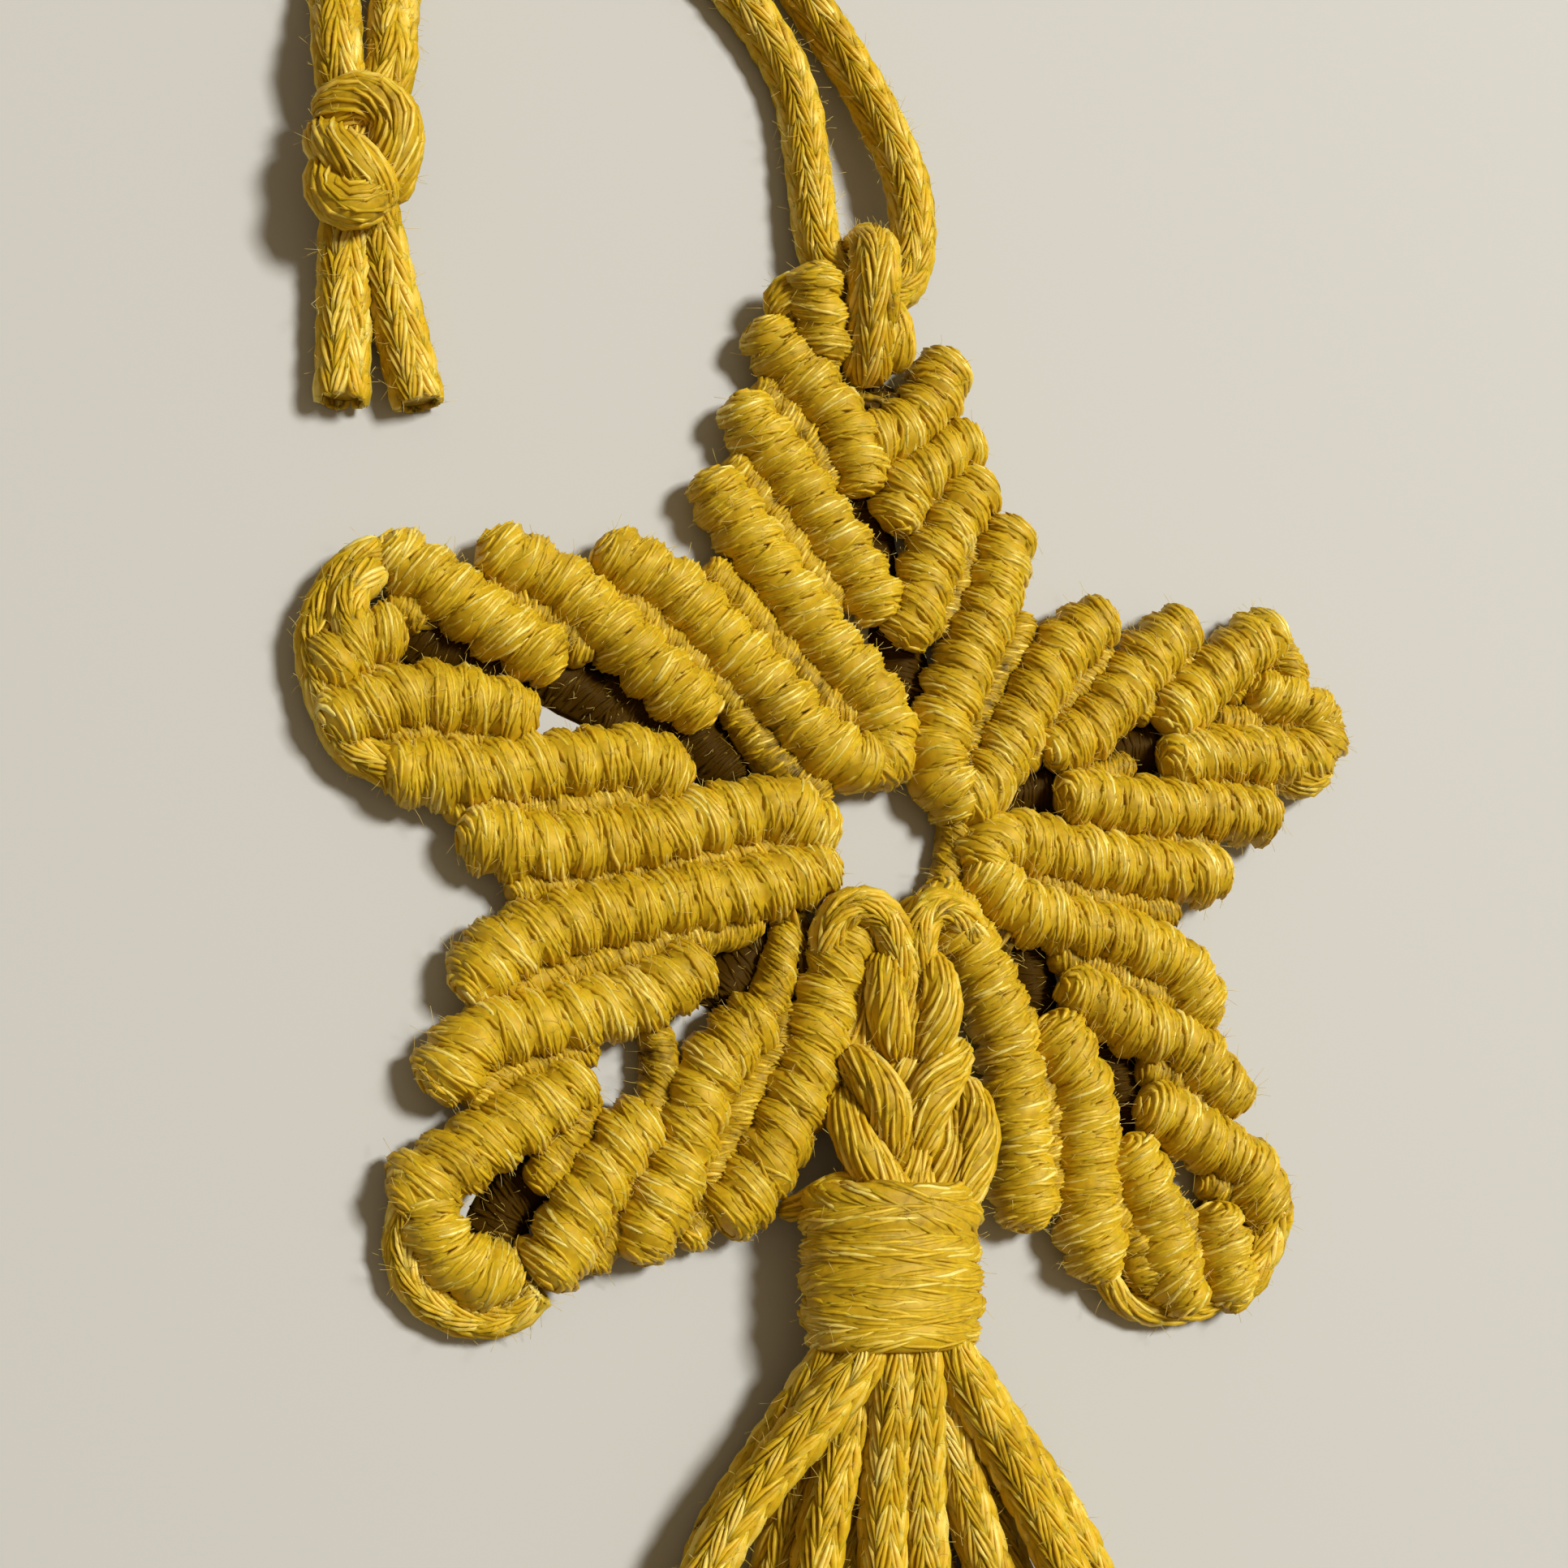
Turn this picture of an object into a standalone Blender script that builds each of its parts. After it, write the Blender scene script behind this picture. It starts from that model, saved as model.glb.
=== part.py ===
"""Five-pointed macrame star of mustard cotton cord, with a tassel and a hanging cord.

The star lies face up on a flat surface: the star is in the XY plane, +Y runs from the
tassel to the hanging cord, and Z = 0 is the surface. Sizes below are in millimetres.
"""

import math

import bmesh
import bpy
from mathutils import Vector

MM = 0.001

# Driving sizes
CORD_DIAMETER = 3.3         # the braided cord that everything is knotted from
BAR_HEIGHT = 2.35           # centre of a hitched bar above the surface
RIDGE_PITCH = 2.8           # from ridge to ridge along a bar
RIDGE_DEPTH = 0.24          # how far the groove between two turns is drawn in
END_OVERHANG = 0.75         # a bar's rounded end past its last turn, as a share of its radius
END_SHARE = 0.55            # and the end face's radius, as a share of the bar's
LINK_RADIUS = 1.25          # cords that pass under the bars, from row to row
LINK_SPACING = 4.6          # between the rings of a link
LINK_HEIGHT = LINK_RADIUS * math.cos(math.radians(30))    # a flat of its six sides lies down
BARE_CORD_SPACING = 2.0     # between the rings of a bare cord, as a share of its radius
NECK_LENGTH = 10.4          # the wrapped neck above the tassel
NECK_WIDTH = (13.2, 11.8)   # at its top and at its lower rim
NECK_THICK = 9.4
NECK_TOP = (5.9, -28.4)     # where the neck starts, at the middle of its width
NECK_TURNS = 9
NECK_SIDES = 16
NECK_MIDDLE = 4.25          # height of its middle, a little pressed on to the surface
PRESSED = 0.25              # what hangs nearer to the surface than this lies flat on it
STRAND_SIDE = 2.3           # a tassel strand's width and height in these solids

CURVE_STEPS = 20            # steps from one chosen point to the next when a route is smoothed

COTTON = (0.55, 0.34, 0.07, 1.0)

# Hitched bars of the star, from the outer edge inwards: name, radius, route in plan
BARS = (
    ("top left 1", 2.1, ((-1.8, 32.4), (1.5, 29.3), (4.0, 26.5), (5.3, 23.2))),
    ("top left 2", 2.1, ((-3.6, 26.3), (-1.0, 23.2), (1.8, 19.9), (4.2, 16.7), (6.3, 13.7))),
    ("top left 3", 2.1, ((-5.9, 20.4), (-3.0, 16.7), (0.1, 12.9), (3.2, 9.4), (5.9, 6.6),
                         (7.3, 3.4))),
    ("top right 1", 2.1, ((12.1, 32.0), (10.3, 29.0), (7.6, 26.7))),
    ("top right 2", 2.0, ((13.5, 26.4), (10.9, 24.4), (8.9, 22.6), (8.3, 20.7))),
    ("top right 3", 2.1, ((14.4, 23.0), (12.2, 19.4), (10.4, 15.6), (9.1, 12.0))),
    ("top right 4", 2.15, ((17.1, 19.4), (15.5, 14.2), (12.9, 8.3), (11.1, 3.2), (11.3, 0.8))),
    ("right upper 1", 2.1, ((24.4, 13.7), (21.0, 10.5), (18.0, 6.0), (15.5, 1.6), (13.4, -0.7))),
    ("right upper 2", 2.1, ((31.6, 13.7), (28.8, 11.2), (26.0, 7.9), (23.4, 5.3), (21.3, 3.9))),
    ("right upper 3", 2.1, ((39.6, 14.2), (36.8, 12.2), (33.8, 9.8), (31.2, 7.3))),
    ("right tip", 1.8, ((39.2, 9.9), (42.0, 9.6), (44.3, 8.6))),
    ("right lower 1", 2.1, ((31.6, 3.7), (35.5, 4.3), (40.0, 4.5), (44.0, 6.0))),
    ("right lower 2", 2.1, ((22.5, 0.2), (27.0, -0.3), (32.5, -0.1), (38.2, -0.2))),
    ("right lower 3", 2.15, ((15.1, -3.7), (19.0, -3.7), (24.5, -4.6), (29.0, -4.9),
                             (33.4, -5.0))),
    ("low right outer 1", 2.1, ((14.9, -5.9), (17.0, -8.2), (21.5, -9.4), (26.5, -10.4),
                                (30.6, -12.2), (32.2, -15.0))),
    ("low right outer 2", 2.1, ((22.2, -14.4), (26.0, -16.3), (30.8, -18.0), (34.2, -21.3))),
    ("low right outer 3", 2.1, ((28.4, -22.7), (31.5, -24.4), (35.2, -26.4), (37.2, -29.2))),
    ("low right inner 1", 2.2, ((11.0, -8.6), (13.6, -12.0), (15.8, -17.0), (16.7, -22.0),
                                (17.0, -26.0), (17.3, -29.4))),
    ("low right inner 2", 2.2, ((20.3, -17.6), (22.1, -21.5), (22.3, -26.0), (22.2, -30.0),
                                (22.8, -33.0))),
    ("low right inner 3", 2.1, ((26.2, -26.3), (27.6, -29.4), (28.2, -32.4), (29.1, -34.8))),
    ("low right tip", 1.9, ((32.8, -30.8), (33.2, -34.8))),
    ("low left outer 1", 2.2, ((1.3, -6.5), (-3.5, -8.1), (-9.5, -9.3), (-15.5, -10.7),
                               (-20.0, -12.6), (-22.4, -14.6))),
    ("low left outer 2", 2.15, ((-8.0, -14.0), (-11.5, -15.9), (-16.8, -17.4), (-21.8, -18.6),
                                (-24.2, -21.0))),
    ("low left outer 3", 2.15, ((-16.2, -22.0), (-19.6, -24.1), (-23.0, -26.3),
                                (-26.0, -28.3))),
    ("low left inner 1", 2.2, ((4.3, -9.8), (3.2, -13.0), (1.6, -17.6), (0.0, -22.0),
                               (-2.0, -26.0), (-4.3, -29.0))),
    ("low left inner 2", 2.1, ((-3.6, -17.4), (-6.3, -20.6), (-7.7, -24.0), (-9.0, -27.6),
                               (-10.8, -30.8))),
    ("low left inner 3", 2.1, ((-11.6, -24.4), (-13.8, -26.9), (-16.0, -29.8),
                               (-18.0, -32.2))),
    ("low left tip", 1.8, ((-22.2, -31.4), (-21.6, -34.2))),
    ("left lower 1", 2.15, ((-31.0, 2.5), (-27.5, 3.5), (-23.5, 3.5), (-20.6, 2.8))),
    ("left lower 2", 2.15, ((-27.4, -1.5), (-23.0, -1.3), (-17.5, -0.4), (-12.5, 0.4),
                            (-9.6, -0.3))),
    ("left lower 3", 2.2, ((-22.2, -5.5), (-18.0, -6.0), (-12.0, -5.0), (-6.0, -3.3),
                           (-1.2, -2.4), (1.2, -3.6))),
    ("left upper 1", 2.15, ((-13.2, 14.6), (-9.2, 12.9), (-5.2, 9.3), (-1.2, 5.6), (1.9, 2.7),
                            (5.0, 1.9))),
    ("left upper 2", 2.1, ((-21.4, 13.9), (-17.6, 12.5), (-14.0, 9.8), (-10.6, 7.0),
                           (-7.6, 4.8))),
    ("left upper 3", 2.1, ((-28.4, 12.9), (-25.4, 11.2), (-22.0, 9.1), (-18.6, 7.3))),
    ("left tip", 1.9, ((-29.6, 7.8), (-32.0, 6.6))),
)

# Cords that run under the bars and tie the rows together: name, route in plan
LINKS = (
    ("top left", ((-0.4, 31.2), (-0.6, 22.7), (-1.6, 15.0), (-5.6, 9.8))),
    ("top right", ((2.4, 28.6), (5.2, 28.4), (9.6, 28.4), (10.9, 24.3), (11.6, 18.2), (13.9, 10.4),
                   (17.6, 5.6))),
    ("right upper", ((19.6, 8.5), (26.4, 8.4), (34.8, 10.6), (41.0, 9.8))),
    ("right lower", ((43.8, 8.6), (38.8, 4.4), (30.4, -0.2), (25.0, -4.6), (24.4, -10.0))),
    ("low right outer", ((26.0, -10.4), (29.4, -17.6), (33.4, -25.4), (33.0, -32.4))),
    ("low right inner", ((17.0, -8.2), (15.0, -15.0), (22.2, -22.6), (27.4, -29.0),
                         (33.0, -33.2))),
    ("low left outer", ((-12.0, -4.9), (-14.6, -10.6), (-17.6, -17.6), (-21.6, -25.4),
                        (-21.9, -32.8))),
    ("low left inner", ((-1.6, -7.4), (1.8, -16.6), (-7.2, -22.6), (-14.4, -27.6),
                        (-21.8, -33.2))),
    ("left lower", ((-31.4, 6.9), (-26.6, 3.4), (-19.4, -0.8), (-15.4, -5.6))),
    ("left upper", ((-31.4, 6.9), (-24.4, 10.6), (-15.6, 11.0), (-7.4, 11.3))),
)

# Bare cords that show at the tips and over the middle: name, radius, route in space
STRANDS = (
    ("top cap", 2.0, ((0.9, 36.2, 4.6), (2.1, 32.2, 3.1))),
    ("top loop front", 1.05, ((5.2, 28.4, 1.8), (5.4, 30.8, 3.4), (5.0, 33.6, 5.0),
                              (4.9, 36.6, 6.0), (5.3, 39.2, 5.2), (5.5, 40.2, 3.1),
                              (5.4, 39.2, 1.1), (5.3, 37.2, 1.05))),
    ("top loop back", 0.9, ((5.3, 38.2, 0.9), (5.2, 33.0, 0.9), (5.0, 27.8, 1.2))),
    ("left tip cord", 1.1, ((-31.0, 12.2, 2.4), (-33.7, 9.0, 1.6), (-34.4, 5.0, 1.2),
                            (-33.0, 1.4, 1.2), (-30.4, -0.6, 1.6), (-27.6, -1.8, 2.2))),
    ("low left tip cord", 1.5, ((-26.4, -28.8, 2.2), (-26.6, -32.6, 1.6), (-23.8, -35.2, 1.5),
                                (-20.6, -35.2, 1.6), (-18.0, -32.8, 2.2))),
    ("low right tip cord", 1.1, ((23.4, -33.6, 2.2), (26.6, -36.2, 1.3), (31.0, -36.6, 1.2),
                                 (35.0, -34.6, 1.6), (36.8, -30.4, 2.2))),
    ("right tip cord", 1.7, ((43.6, 9.2, 2.2), (45.0, 7.6, 2.0), (44.4, 5.8, 2.2))),
    ("top side cord", 1.4, ((0.4, 36.4, 3.6), (-1.2, 34.6, 2.4), (-1.9, 32.8, 2.3))),
    ("middle core left", 1.7, ((3.6, -8.4, 2.4), (4.4, -12.0, 2.2), (4.4, -20.0, 2.4),
                               (4.4, -27.0, 4.4))),
    ("middle core right", 1.7, ((9.9, -8.0, 2.4), (8.6, -12.0, 2.2), (7.8, -20.0, 2.4),
                                (7.6, -27.0, 4.4))),
    ("over left", 1.5, ((3.0, -11.0, 2.6), (3.6, -8.8, 4.0), (5.6, -9.4, 4.9),
                        (6.0, -13.0, 4.2), (6.0, -17.4, 3.2))),
    ("over right", 1.5, ((11.6, -10.0, 2.6), (9.6, -8.0, 4.0), (7.8, -9.6, 4.9),
                         (7.4, -13.0, 4.2), (7.4, -17.4, 3.2))),
    ("upper knot left", 1.3, ((5.2, -11.6, 3.6), (4.5, -15.0, 5.2), (6.1, -18.6, 3.4))),
    ("upper knot right", 1.3, ((7.6, -11.2, 3.6), (8.9, -15.0, 5.2), (7.1, -18.8, 3.4))),
    ("lower knot left", 1.4, ((2.4, -19.0, 3.4), (4.6, -21.8, 5.4), (6.2, -24.9, 4.6))),
    ("lower loop left", 1.3, ((2.0, -21.6, 3.4), (2.3, -24.6, 5.0), (5.6, -26.7, 5.2))),
    ("lower knot right", 1.4, ((11.0, -18.6, 3.4), (8.8, -21.8, 5.4), (7.3, -24.9, 4.6))),
    ("lower loop right", 1.3, ((11.6, -21.8, 3.4), (11.4, -24.8, 5.0), (7.8, -26.7, 5.2))),
)

# Tassel strands: where each leaves the neck, where it is a little below the neck, the
# place along the tassel by which it has come down to the surface, and where it is cut off
NECK_EXIT_Y = -39.2
ROOT_DEPTH = 3.0            # how far a strand reaches into the neck
FAN_Y = -50.0
TRIM_Y = -94.0
SPREAD = 1.5                # how soon the strands spread out; 1 is evenly all the way
DROP_LENGTH = 9.0           # over which a strand comes down beside its neighbours
ROOT_SIDE = 1.8             # a strand's width at the neck
STRAND_SPACING = 4.5        # between the rings of a strand
STRAND_COLUMNS = ("name", "neck_x", "neck_z", "fan_x", "fan_z", "lands_y", "end_x", "end_y")
TASSEL = (
    ("over far left", 2.6, 7.0, -6.0, 4.5, -70.0, -20.0, TRIM_Y + 1.2),
    ("far left", 0.8, 4.5, -5.2, 1.5, -54.0, -14.9, TRIM_Y + 0.4),
    ("left", 2.6, 1.9, -0.6, 1.4, -54.0, -9.8, TRIM_Y - 0.6),
    ("over left", 3.4, 4.3, 0.8, 4.1, -70.0, -4.7, TRIM_Y + 0.3),
    ("mid left", 4.8, 1.9, 4.2, 1.4, -54.0, 0.4, TRIM_Y - 1.0),
    ("over mid left", 5.0, 7.0, 4.9, 4.5, -76.0, 5.5, TRIM_Y - 0.2),
    ("over mid right", 7.2, 7.1, 7.7, 4.6, -74.0, 10.6, TRIM_Y - 0.8),
    ("mid right", 7.0, 1.9, 9.0, 1.4, -54.0, 15.7, TRIM_Y + 0.5),
    ("over right", 8.6, 4.15, 11.75, 3.95, -65.0, 20.8, TRIM_Y - 0.4),
    ("right", 9.2, 1.8, 14.0, 1.3, -54.0, 25.9, TRIM_Y + 0.8),
    ("over far right", 9.9, 7.1, 16.2, 5.0, -71.0, 31.0, TRIM_Y + 0.2),
    ("far right", 11.1, 4.2, 19.4, 1.2, -54.0, 36.1, TRIM_Y + 1.0),
)

# The hanging cord's two legs, from the loop at the top of the star to the knot
LEG_SPACING = 3.6           # between the rings of a leg
PINCHED = 0.68              # the cord's radius under the loop, as a share of its own
PINCHED_RINGS = 3           # that many rings of each leg are drawn in so
LAY_SHARE = math.cos(math.radians(22.5))    # of its radius, an eight-sided cord's height
SURFACE_LAY = CORD_DIAMETER / 2 * LAY_SHARE
INNER_LEG = ((5.1, 36.9, 3.5), (4.2, 36.95, 3.4), (2.7, 38.6, 2.6), (2.1, 40.8, 2.1),
             (1.8, 43.6, 1.9), (1.5, 47.0, 1.7), (1.1, 50.5, SURFACE_LAY),
             (0.2, 54.0, SURFACE_LAY),
             (-2.4, 58.2, SURFACE_LAY), (-7.6, 63.4, SURFACE_LAY), (-14.0, 66.9, SURFACE_LAY),
             (-20.4, 66.9, SURFACE_LAY), (-26.0, 63.6, SURFACE_LAY),
             (-29.2, 58.6, SURFACE_LAY), (-29.9, 53.8, 1.9), (-30.3, 50.2, 3.2),
             (-30.3, 47.9, 3.8))
OUTER_LEG = ((5.7, 36.9, 3.5), (6.8, 37.0, 3.4), (8.6, 38.4, 3.4), (9.3, 42.0, 3.4),
             (8.9, 46.6, 3.2), (7.4, 50.6, 2.9), (5.2, 55.0, 2.4), (2.6, 59.2, 1.9),
             (-1.4, 64.6, SURFACE_LAY), (-7.4, 69.6, SURFACE_LAY),
             (-15.4, 72.5, SURFACE_LAY), (-23.6, 71.3, SURFACE_LAY),
             (-30.0, 66.4, SURFACE_LAY), (-33.4, 59.6, SURFACE_LAY),
             (-34.2, 54.2, 1.9), (-34.1, 50.4, 3.2), (-34.1, 47.9, 3.8))

# The overhand knot in the two legs, and the two cut tails below it
KNOT_SPACING = 2.2          # between the rings of its bands and tails
KNOT_PARTS = (
    ("knot core", 2.6, ((-32.2, 47.2, 3.8), (-32.1, 43.0, 4.0), (-32.0, 36.2, 3.2))),
    ("knot upper band", 2.0, ((-34.2, 43.0, 2.4), (-34.0, 45.0, 5.0), (-31.2, 45.4, 6.3),
                              (-29.3, 43.2, 5.6), (-29.6, 40.2, 3.6))),
    ("knot lower band", 2.0, ((-33.6, 42.4, 6.2), (-34.6, 39.8, 4.8), (-33.4, 37.2, 5.0),
                              (-30.6, 37.8, 4.8))),
    ("left tail", 1.6, ((-32.6, 38.0, 2.6), (-32.7, 34.6, 1.7), (-32.5, 29.0, 1.48),
                        (-32.3, 23.4, 1.48))),
    ("right tail", 1.6, ((-31.0, 38.4, 2.8), (-30.2, 35.2, 1.8), (-28.8, 30.4, 1.48),
                         (-27.1, 24.2, 1.48))),
)


def clear_scene():
    for old in list(bpy.data.objects):
        bpy.data.objects.remove(old, do_unlink=True)


def new_collection(name):
    collection = bpy.data.collections.new(name)
    bpy.context.scene.collection.children.link(collection)
    return collection


def cotton_material(name, tint=1.0):
    material = bpy.data.materials.new(name)
    material.use_nodes = True
    shader = material.node_tree.nodes["Principled BSDF"]
    colour = [channel * tint for channel in COTTON[:3]] + [1.0]
    shader.inputs["Base Color"].default_value = colour
    shader.inputs["Roughness"].default_value = 0.85
    shader.inputs["Metallic"].default_value = 0.0
    return material


def smooth_route(points, spacing):
    """Points about `spacing` apart along a smooth curve through `points`."""
    knots = [Vector(p).to_3d() for p in points]
    if len(knots) == 2:
        dense = [knots[0].lerp(knots[1], i / CURVE_STEPS) for i in range(CURVE_STEPS + 1)]
    else:
        padded = [2 * knots[0] - knots[1]] + knots + [2 * knots[-1] - knots[-2]]
        dense = []
        for a, b, c, d in zip(padded, padded[1:], padded[2:], padded[3:]):
            for i in range(CURVE_STEPS):
                t = i / CURVE_STEPS
                dense.append(0.5 * (2 * b + (c - a) * t + (2 * a - 5 * b + 4 * c - d) * t * t
                                    + (3 * b - a - 3 * c + d) * t ** 3))
        dense.append(knots[-1])
    lengths = [0.0]
    for a, b in zip(dense, dense[1:]):
        lengths.append(lengths[-1] + (b - a).length)
    count = max(2, round(lengths[-1] / spacing))
    route = []
    j = 0
    for i in range(count + 1):
        wanted = lengths[-1] * i / count
        while j < len(dense) - 2 and lengths[j + 1] < wanted:
            j += 1
        part = (wanted - lengths[j]) / max(lengths[j + 1] - lengths[j], 1e-9)
        route.append(dense[j].lerp(dense[j + 1], part))
    return route


def above_surface(route, lowest):
    """The same route, with no point nearer to the surface than `lowest`."""
    return [Vector((place.x, place.y, max(place.z, lowest))) for place in route]


def tube(name, collection, route, radii, resolution=1, tilt=0.0):
    """A closed tube of one radius per point, as a mesh object; sizes in millimetres."""
    data = bpy.data.curves.new(name, "CURVE")
    data.dimensions = "3D"
    steep = any(abs((b - a).normalized().z) > 0.8 for a, b in zip(route, route[1:]))
    data.twist_mode = "MINIMUM" if steep else "Z_UP"
    data.bevel_depth = MM
    data.bevel_resolution = resolution
    data.use_fill_caps = True
    spline = data.splines.new("POLY")
    spline.points.add(len(route) - 1)
    for point, place, radius in zip(spline.points, route, radii):
        point.co = (*(place * MM), 1.0)
        point.radius = radius
        point.tilt = tilt
    curve = bpy.data.objects.new(name + " curve", data)
    collection.objects.link(curve)
    depsgraph = bpy.context.evaluated_depsgraph_get()
    mesh = bpy.data.meshes.new_from_object(curve.evaluated_get(depsgraph))
    solid = bpy.data.objects.new(name, mesh)
    solid.matrix_world = curve.matrix_world.copy()
    collection.objects.link(solid)
    bpy.data.objects.remove(curve, do_unlink=True)
    cleaned = bmesh.new()
    cleaned.from_mesh(mesh)
    bmesh.ops.remove_doubles(cleaned, verts=cleaned.verts, dist=0.01 * MM)
    bmesh.ops.recalc_face_normals(cleaned, faces=cleaned.faces)
    cleaned.to_mesh(mesh)
    cleaned.free()
    return solid


def fuse(name, collection, cutters, pieces, material):
    """One solid from overlapping pieces."""
    base = pieces[0]
    for piece in pieces[1:]:
        for owner in list(piece.users_collection):
            owner.objects.unlink(piece)
        cutters.objects.link(piece)
        piece.hide_render = True
        piece.display_type = "WIRE"
    union = base.modifiers.new("Fuse", "BOOLEAN")
    union.operation = "UNION"
    union.operand_type = "COLLECTION"
    union.collection = cutters
    union.solver = "EXACT"
    depsgraph = bpy.context.evaluated_depsgraph_get()
    mesh = bpy.data.meshes.new_from_object(base.evaluated_get(depsgraph))
    mesh.name = name
    solid = bpy.data.objects.new(name, mesh)
    collection.objects.link(solid)
    for piece in pieces:
        bpy.data.objects.remove(piece, do_unlink=True)
    mesh.materials.clear()
    mesh.materials.append(material)
    return solid


def bar(name, collection, radius, plan):
    """A hitched bar: a row of turns of cord, each a ridge with a groove after it."""
    centre = [(x, y, BAR_HEIGHT) for x, y in plan]
    route = smooth_route(centre, RIDGE_PITCH / 2)
    if len(route) % 2 == 0:
        route = smooth_route(centre, RIDGE_PITCH / 2 * len(route) / (len(route) + 1))
    radii = [radius if i % 2 else radius - RIDGE_DEPTH for i in range(len(route))]
    radii[0] = radii[-1] = radius
    overhang = radius * END_OVERHANG
    first = route[0] + (route[0] - route[1]).normalized() * overhang
    last = route[-1] + (route[-1] - route[-2]).normalized() * overhang
    rounded = radius * END_SHARE
    return tube(name, collection, [first] + route + [last], [rounded] + radii + [rounded])


def build_star(collection, cutters, material):
    pieces = []
    for name, radius, plan in BARS:
        pieces.append(bar(name, collection, radius, plan))
    for name, plan in LINKS:
        route = smooth_route([(x, y, LINK_HEIGHT) for x, y in plan], LINK_SPACING)
        pieces.append(tube("link " + name, collection, route, [LINK_RADIUS] * len(route)))
    for name, radius, points in STRANDS:
        route = above_surface(smooth_route(points, BARE_CORD_SPACING * radius), radius)
        pieces.append(tube(name, collection, route, [radius] * len(route)))
    return fuse("star", collection, cutters, pieces, material)


def neck(collection):
    """The wrapped neck: turns of cord round the gathered strands, flat underneath."""
    x, y = NECK_TOP
    top_radius, rim_radius = (width / 2 for width in NECK_WIDTH)
    rings = 2 * NECK_TURNS + 1
    route = [Vector((x, y - NECK_LENGTH * i / (rings - 1), 0.0)) for i in range(rings)]
    radii = []
    for i in range(rings):
        radius = top_radius + (rim_radius - top_radius) * i / (rings - 1)
        radii.append(radius if i % 2 else radius - RIDGE_DEPTH)
    drum = tube("neck", collection, route, radii, resolution=(NECK_SIDES - 4) // 2,
                tilt=math.pi / NECK_SIDES)
    squash = NECK_THICK / NECK_WIDTH[0]
    for vertex in drum.data.vertices:
        height = vertex.co.z * squash + NECK_MIDDLE * MM
        vertex.co.z = height if height > PRESSED * MM else 0.0
    return drum


def strand_route(strand, lie):
    """From inside the neck, out over its rim, fanning out and down on to the surface."""
    def spread_at(y):
        part = (FAN_Y - y) / (FAN_Y - strand["end_y"])
        return strand["fan_x"] + (strand["end_x"] - strand["fan_x"]) * (1 - (1 - part) ** SPREAD)

    points = [Vector((strand["neck_x"], NECK_EXIT_Y + ROOT_DEPTH, strand["neck_z"])),
              Vector((strand["neck_x"], NECK_EXIT_Y, strand["neck_z"])),
              Vector((strand["fan_x"], FAN_Y, strand["fan_z"]))]
    held_y = strand["lands_y"] + DROP_LENGTH
    if held_y < FAN_Y:
        points.append(Vector((spread_at(held_y), held_y, strand["fan_z"])))
    points.append(Vector((spread_at(strand["lands_y"]), strand["lands_y"], lie)))
    middle_y = (strand["lands_y"] + strand["end_y"]) / 2
    points.append(Vector((spread_at(middle_y), middle_y, lie)))
    points.append(Vector((strand["end_x"], strand["end_y"], lie)))
    return above_surface(smooth_route(points, STRAND_SPACING), lie)


def build_tassel(collection, cutters, material):
    """Four-sided strands that stand apart below the neck that holds their roots."""
    pieces = [neck(collection)]
    for row in TASSEL:
        strand = dict(zip(STRAND_COLUMNS, row))
        route = strand_route(strand, STRAND_SIDE / 2)
        radii = []
        for place in route:
            grown = min(1.0, max(0.0, (NECK_EXIT_Y - place.y) / (NECK_EXIT_Y - FAN_Y)))
            side = ROOT_SIDE + (STRAND_SIDE - ROOT_SIDE) * grown
            radii.append(side / math.sqrt(2))
        pieces.append(tube("strand " + strand["name"], collection, route, radii,
                           resolution=0, tilt=math.radians(45)))
    return fuse("tassel", collection, cutters, pieces, material)


def build_hanging_cord(collection, material):
    for name, points in (("hanging_cord_inner", INNER_LEG), ("hanging_cord_outer", OUTER_LEG)):
        route = [Vector(points[0])] + smooth_route(points[1:], LEG_SPACING)
        route = above_surface(route, SURFACE_LAY)
        radius = CORD_DIAMETER / 2
        radii = [radius * PINCHED] * PINCHED_RINGS
        radii += [radius] * (len(route) - PINCHED_RINGS)
        leg = tube(name, collection, route, radii, resolution=2, tilt=math.radians(22.5))
        leg.data.materials.append(material)


def build_knot(collection, cutters, material):
    pieces = []
    for name, radius, points in KNOT_PARTS:
        route = above_surface(smooth_route(points, KNOT_SPACING), radius * LAY_SHARE)
        pieces.append(tube(name, collection, route, [radius] * len(route), resolution=2,
                           tilt=math.radians(22.5)))
    return fuse("hanging_knot", collection, cutters, pieces, material)


def centre_on_origin(collection, measured):
    """Move all pieces so that the box round the measured ones stands over the origin."""
    places = [vertex.co for solid in measured for vertex in solid.data.vertices]
    middle = [(min(p[i] for p in places) + max(p[i] for p in places)) / 2 for i in (0, 1)]
    centre = bpy.data.objects.new("macrame star centre", None)
    collection.objects.link(centre)
    centre.location = (-middle[0], -middle[1], 0.0)
    for solid in collection.objects:
        if solid.type == "MESH":
            solid.parent = centre
            solid.data.shade_smooth()
    bpy.context.view_layer.update()


def main():
    clear_scene()
    parts = new_collection("macrame star")
    cutters = new_collection("cutters")
    star = build_star(parts, cutters, cotton_material("mustard cotton bars"))
    tassel = build_tassel(parts, cutters, cotton_material("mustard cotton tassel", 1.1))
    build_hanging_cord(parts, cotton_material("mustard cotton hanging cord", 1.2))
    build_knot(parts, cutters, cotton_material("mustard cotton knot", 0.9))
    centre_on_origin(parts, (star, tassel))


main()
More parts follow.
